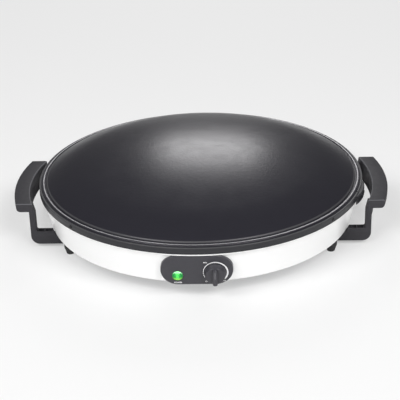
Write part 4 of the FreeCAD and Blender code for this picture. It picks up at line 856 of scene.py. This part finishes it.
# Cord inlet
# A black bush through the back of the shell with a tapered, ribbed nose that
# guards the cord, held from inside by a nut on its thread.
inlet_place = (0.0, 202.1, 40.6)
inlet_outward = (0.0, 0.9693, -0.2458)
inlet_bore = 4.2
thread_radius = 6.0
thread_end = -9.0
flange_radius = 10.0
flange_top = 3.0
nose_start = 4.4
nose_radius = 7.5
nose_tip_radius = 6.4
nose_tip = 17.0
rib_pitch = 2.8
rib_taper = 0.26
rib_depth = 1.0
rib_gap = 1.2
gap_taper = 0.14
nose_flare = 0.1
bush = begin("inlet_bush_moulding", inlet_bore, thread_end)
trace(bush, (thread_radius, thread_end), (thread_radius, 0.0), (flange_radius, 0.0),
      (flange_radius, flange_top), (nose_radius + nose_flare, flange_top), (nose_radius, nose_start))
for rib in range(4):
    low = nose_start + rib * rib_pitch
    wide = nose_radius - rib * rib_taper
    trace(bush, (wide - rib_depth, low), (wide - rib_depth, low + rib_gap),
          (wide - gap_taper, low + rib_gap), (wide - rib_taper, low + rib_pitch))
trace(bush, (nose_tip_radius, nose_tip), (inlet_bore, nose_tip), (inlet_bore, thread_end))
weld()
soften(bush, (flange_radius, flange_top), (nose_tip_radius, nose_tip), size=0.6, segments=3)
whirl(bush, steps=56)
settle(bush, facing(inlet_place, inlet_outward))
mount(bush, black_rubber, "bush_plastic", "cooker", "inlet_bush")
dress(bright_zinc, "inlet_nut")

# Floor
# A wide sheet of matt white paper. Part of what the camera sees of it is its own
# plain tone, so that the shadow under the cooker stays as soft as in the photo.
plain_share = 0.45
plain_tone = 0.88
bpy.ops.object.select_all(action="DESELECT")
bpy.ops.mesh.primitive_plane_add(size=30.0, location=(0.0, 0.0, 0.0))
floor = bpy.context.object
floor.name = "floor"
pale_paper, tree, surface = finish("pale_paper", (0.86, 0.86, 0.86), roughness=0.9)
surface.inputs["Specular IOR Level"].default_value = 0.1
glow = tree.nodes.new("ShaderNodeEmission")
glow.inputs["Color"].default_value = (plain_tone, plain_tone, plain_tone, 1.0)
path = tree.nodes.new("ShaderNodeLightPath")
seen = tree.nodes.new("ShaderNodeMixShader")
mirrored = sums(tree, "MAXIMUM", path.outputs["Is Glossy Ray"], path.outputs["Is Transmission Ray"])
direct = sums(tree, "MAXIMUM", path.outputs["Is Camera Ray"], mirrored)
tree.links.new(spread(tree, direct, 0.0, plain_share, 0.0, 1.0), seen.inputs[0])
tree.links.new(surface.outputs["BSDF"], seen.inputs[1])
tree.links.new(glow.outputs["Emission"], seen.inputs[2])
tree.links.new(seen.outputs["Shader"], tree.nodes["Material Output"].inputs["Surface"])
floor.data.materials.append(pale_paper)

# Light
# A dim white room, a soft box behind the cooker that makes the one broad highlight
# on the dome, and a wide soft box on each side of the camera.
world = bpy.data.worlds.new("studio")
bpy.context.scene.world = world
world.use_nodes = True
room = world.node_tree.nodes["Background"]
room.inputs["Color"].default_value = (1.0, 1.0, 1.0, 1.0)
room.inputs["Strength"].default_value = 0.13


def soft_box(name, place, aim, width, height, power):
    """A rectangular soft box at a place, turned to face a point, in metres and watts."""
    lamp = bpy.data.lights.new(name, "AREA")
    lamp.shape = "RECTANGLE"
    lamp.size = width
    lamp.size_y = height
    lamp.energy = power
    holder = bpy.data.objects.new(name, lamp)
    bpy.context.collection.objects.link(holder)
    holder.location = place
    holder.rotation_euler = (Vector(place) - Vector(aim)).to_track_quat("Z", "Y").to_euler()


soft_box("rear_soft_box", place=(-0.01, 2.2, 1.22), aim=(0.0, 0.0, 0.09), width=0.7, height=0.65, power=10.8)
for name, x in (("front_left_box", -1.5), ("front_right_box", 1.5)):
    soft_box(name, place=(x, -2.1, 2.5), aim=(0.0, 0.0, 0.05), width=2.0, height=1.5, power=86.0)

# Camera
# A long lens from the front and above, held slightly askew as in the photo. It is
# turned a little round the cooker's upright axis.
yaw = math.radians(2.2)
drop = math.radians(25.84)
roll = math.radians(1.65)
eye = Vector((-0.0017, -1.4283, 0.724))
forward = Vector((0.0, math.cos(drop), -math.sin(drop)))
above = across.cross(forward)
right = across * math.cos(roll) - above * math.sin(roll)
up = across * math.sin(roll) + above * math.cos(roll)
aim = Matrix((right, up, -forward)).transposed().to_4x4()
aim.translation = eye
lens = bpy.data.cameras.new("camera")
lens.lens = 108.0
lens.sensor_width = 36.0
camera = bpy.data.objects.new("camera", lens)
bpy.context.collection.objects.link(camera)
camera.matrix_world = Matrix.Rotation(yaw, 4, "Z") @ aim
bpy.context.scene.camera = camera
bpy.context.scene.view_settings.view_transform = "Standard"
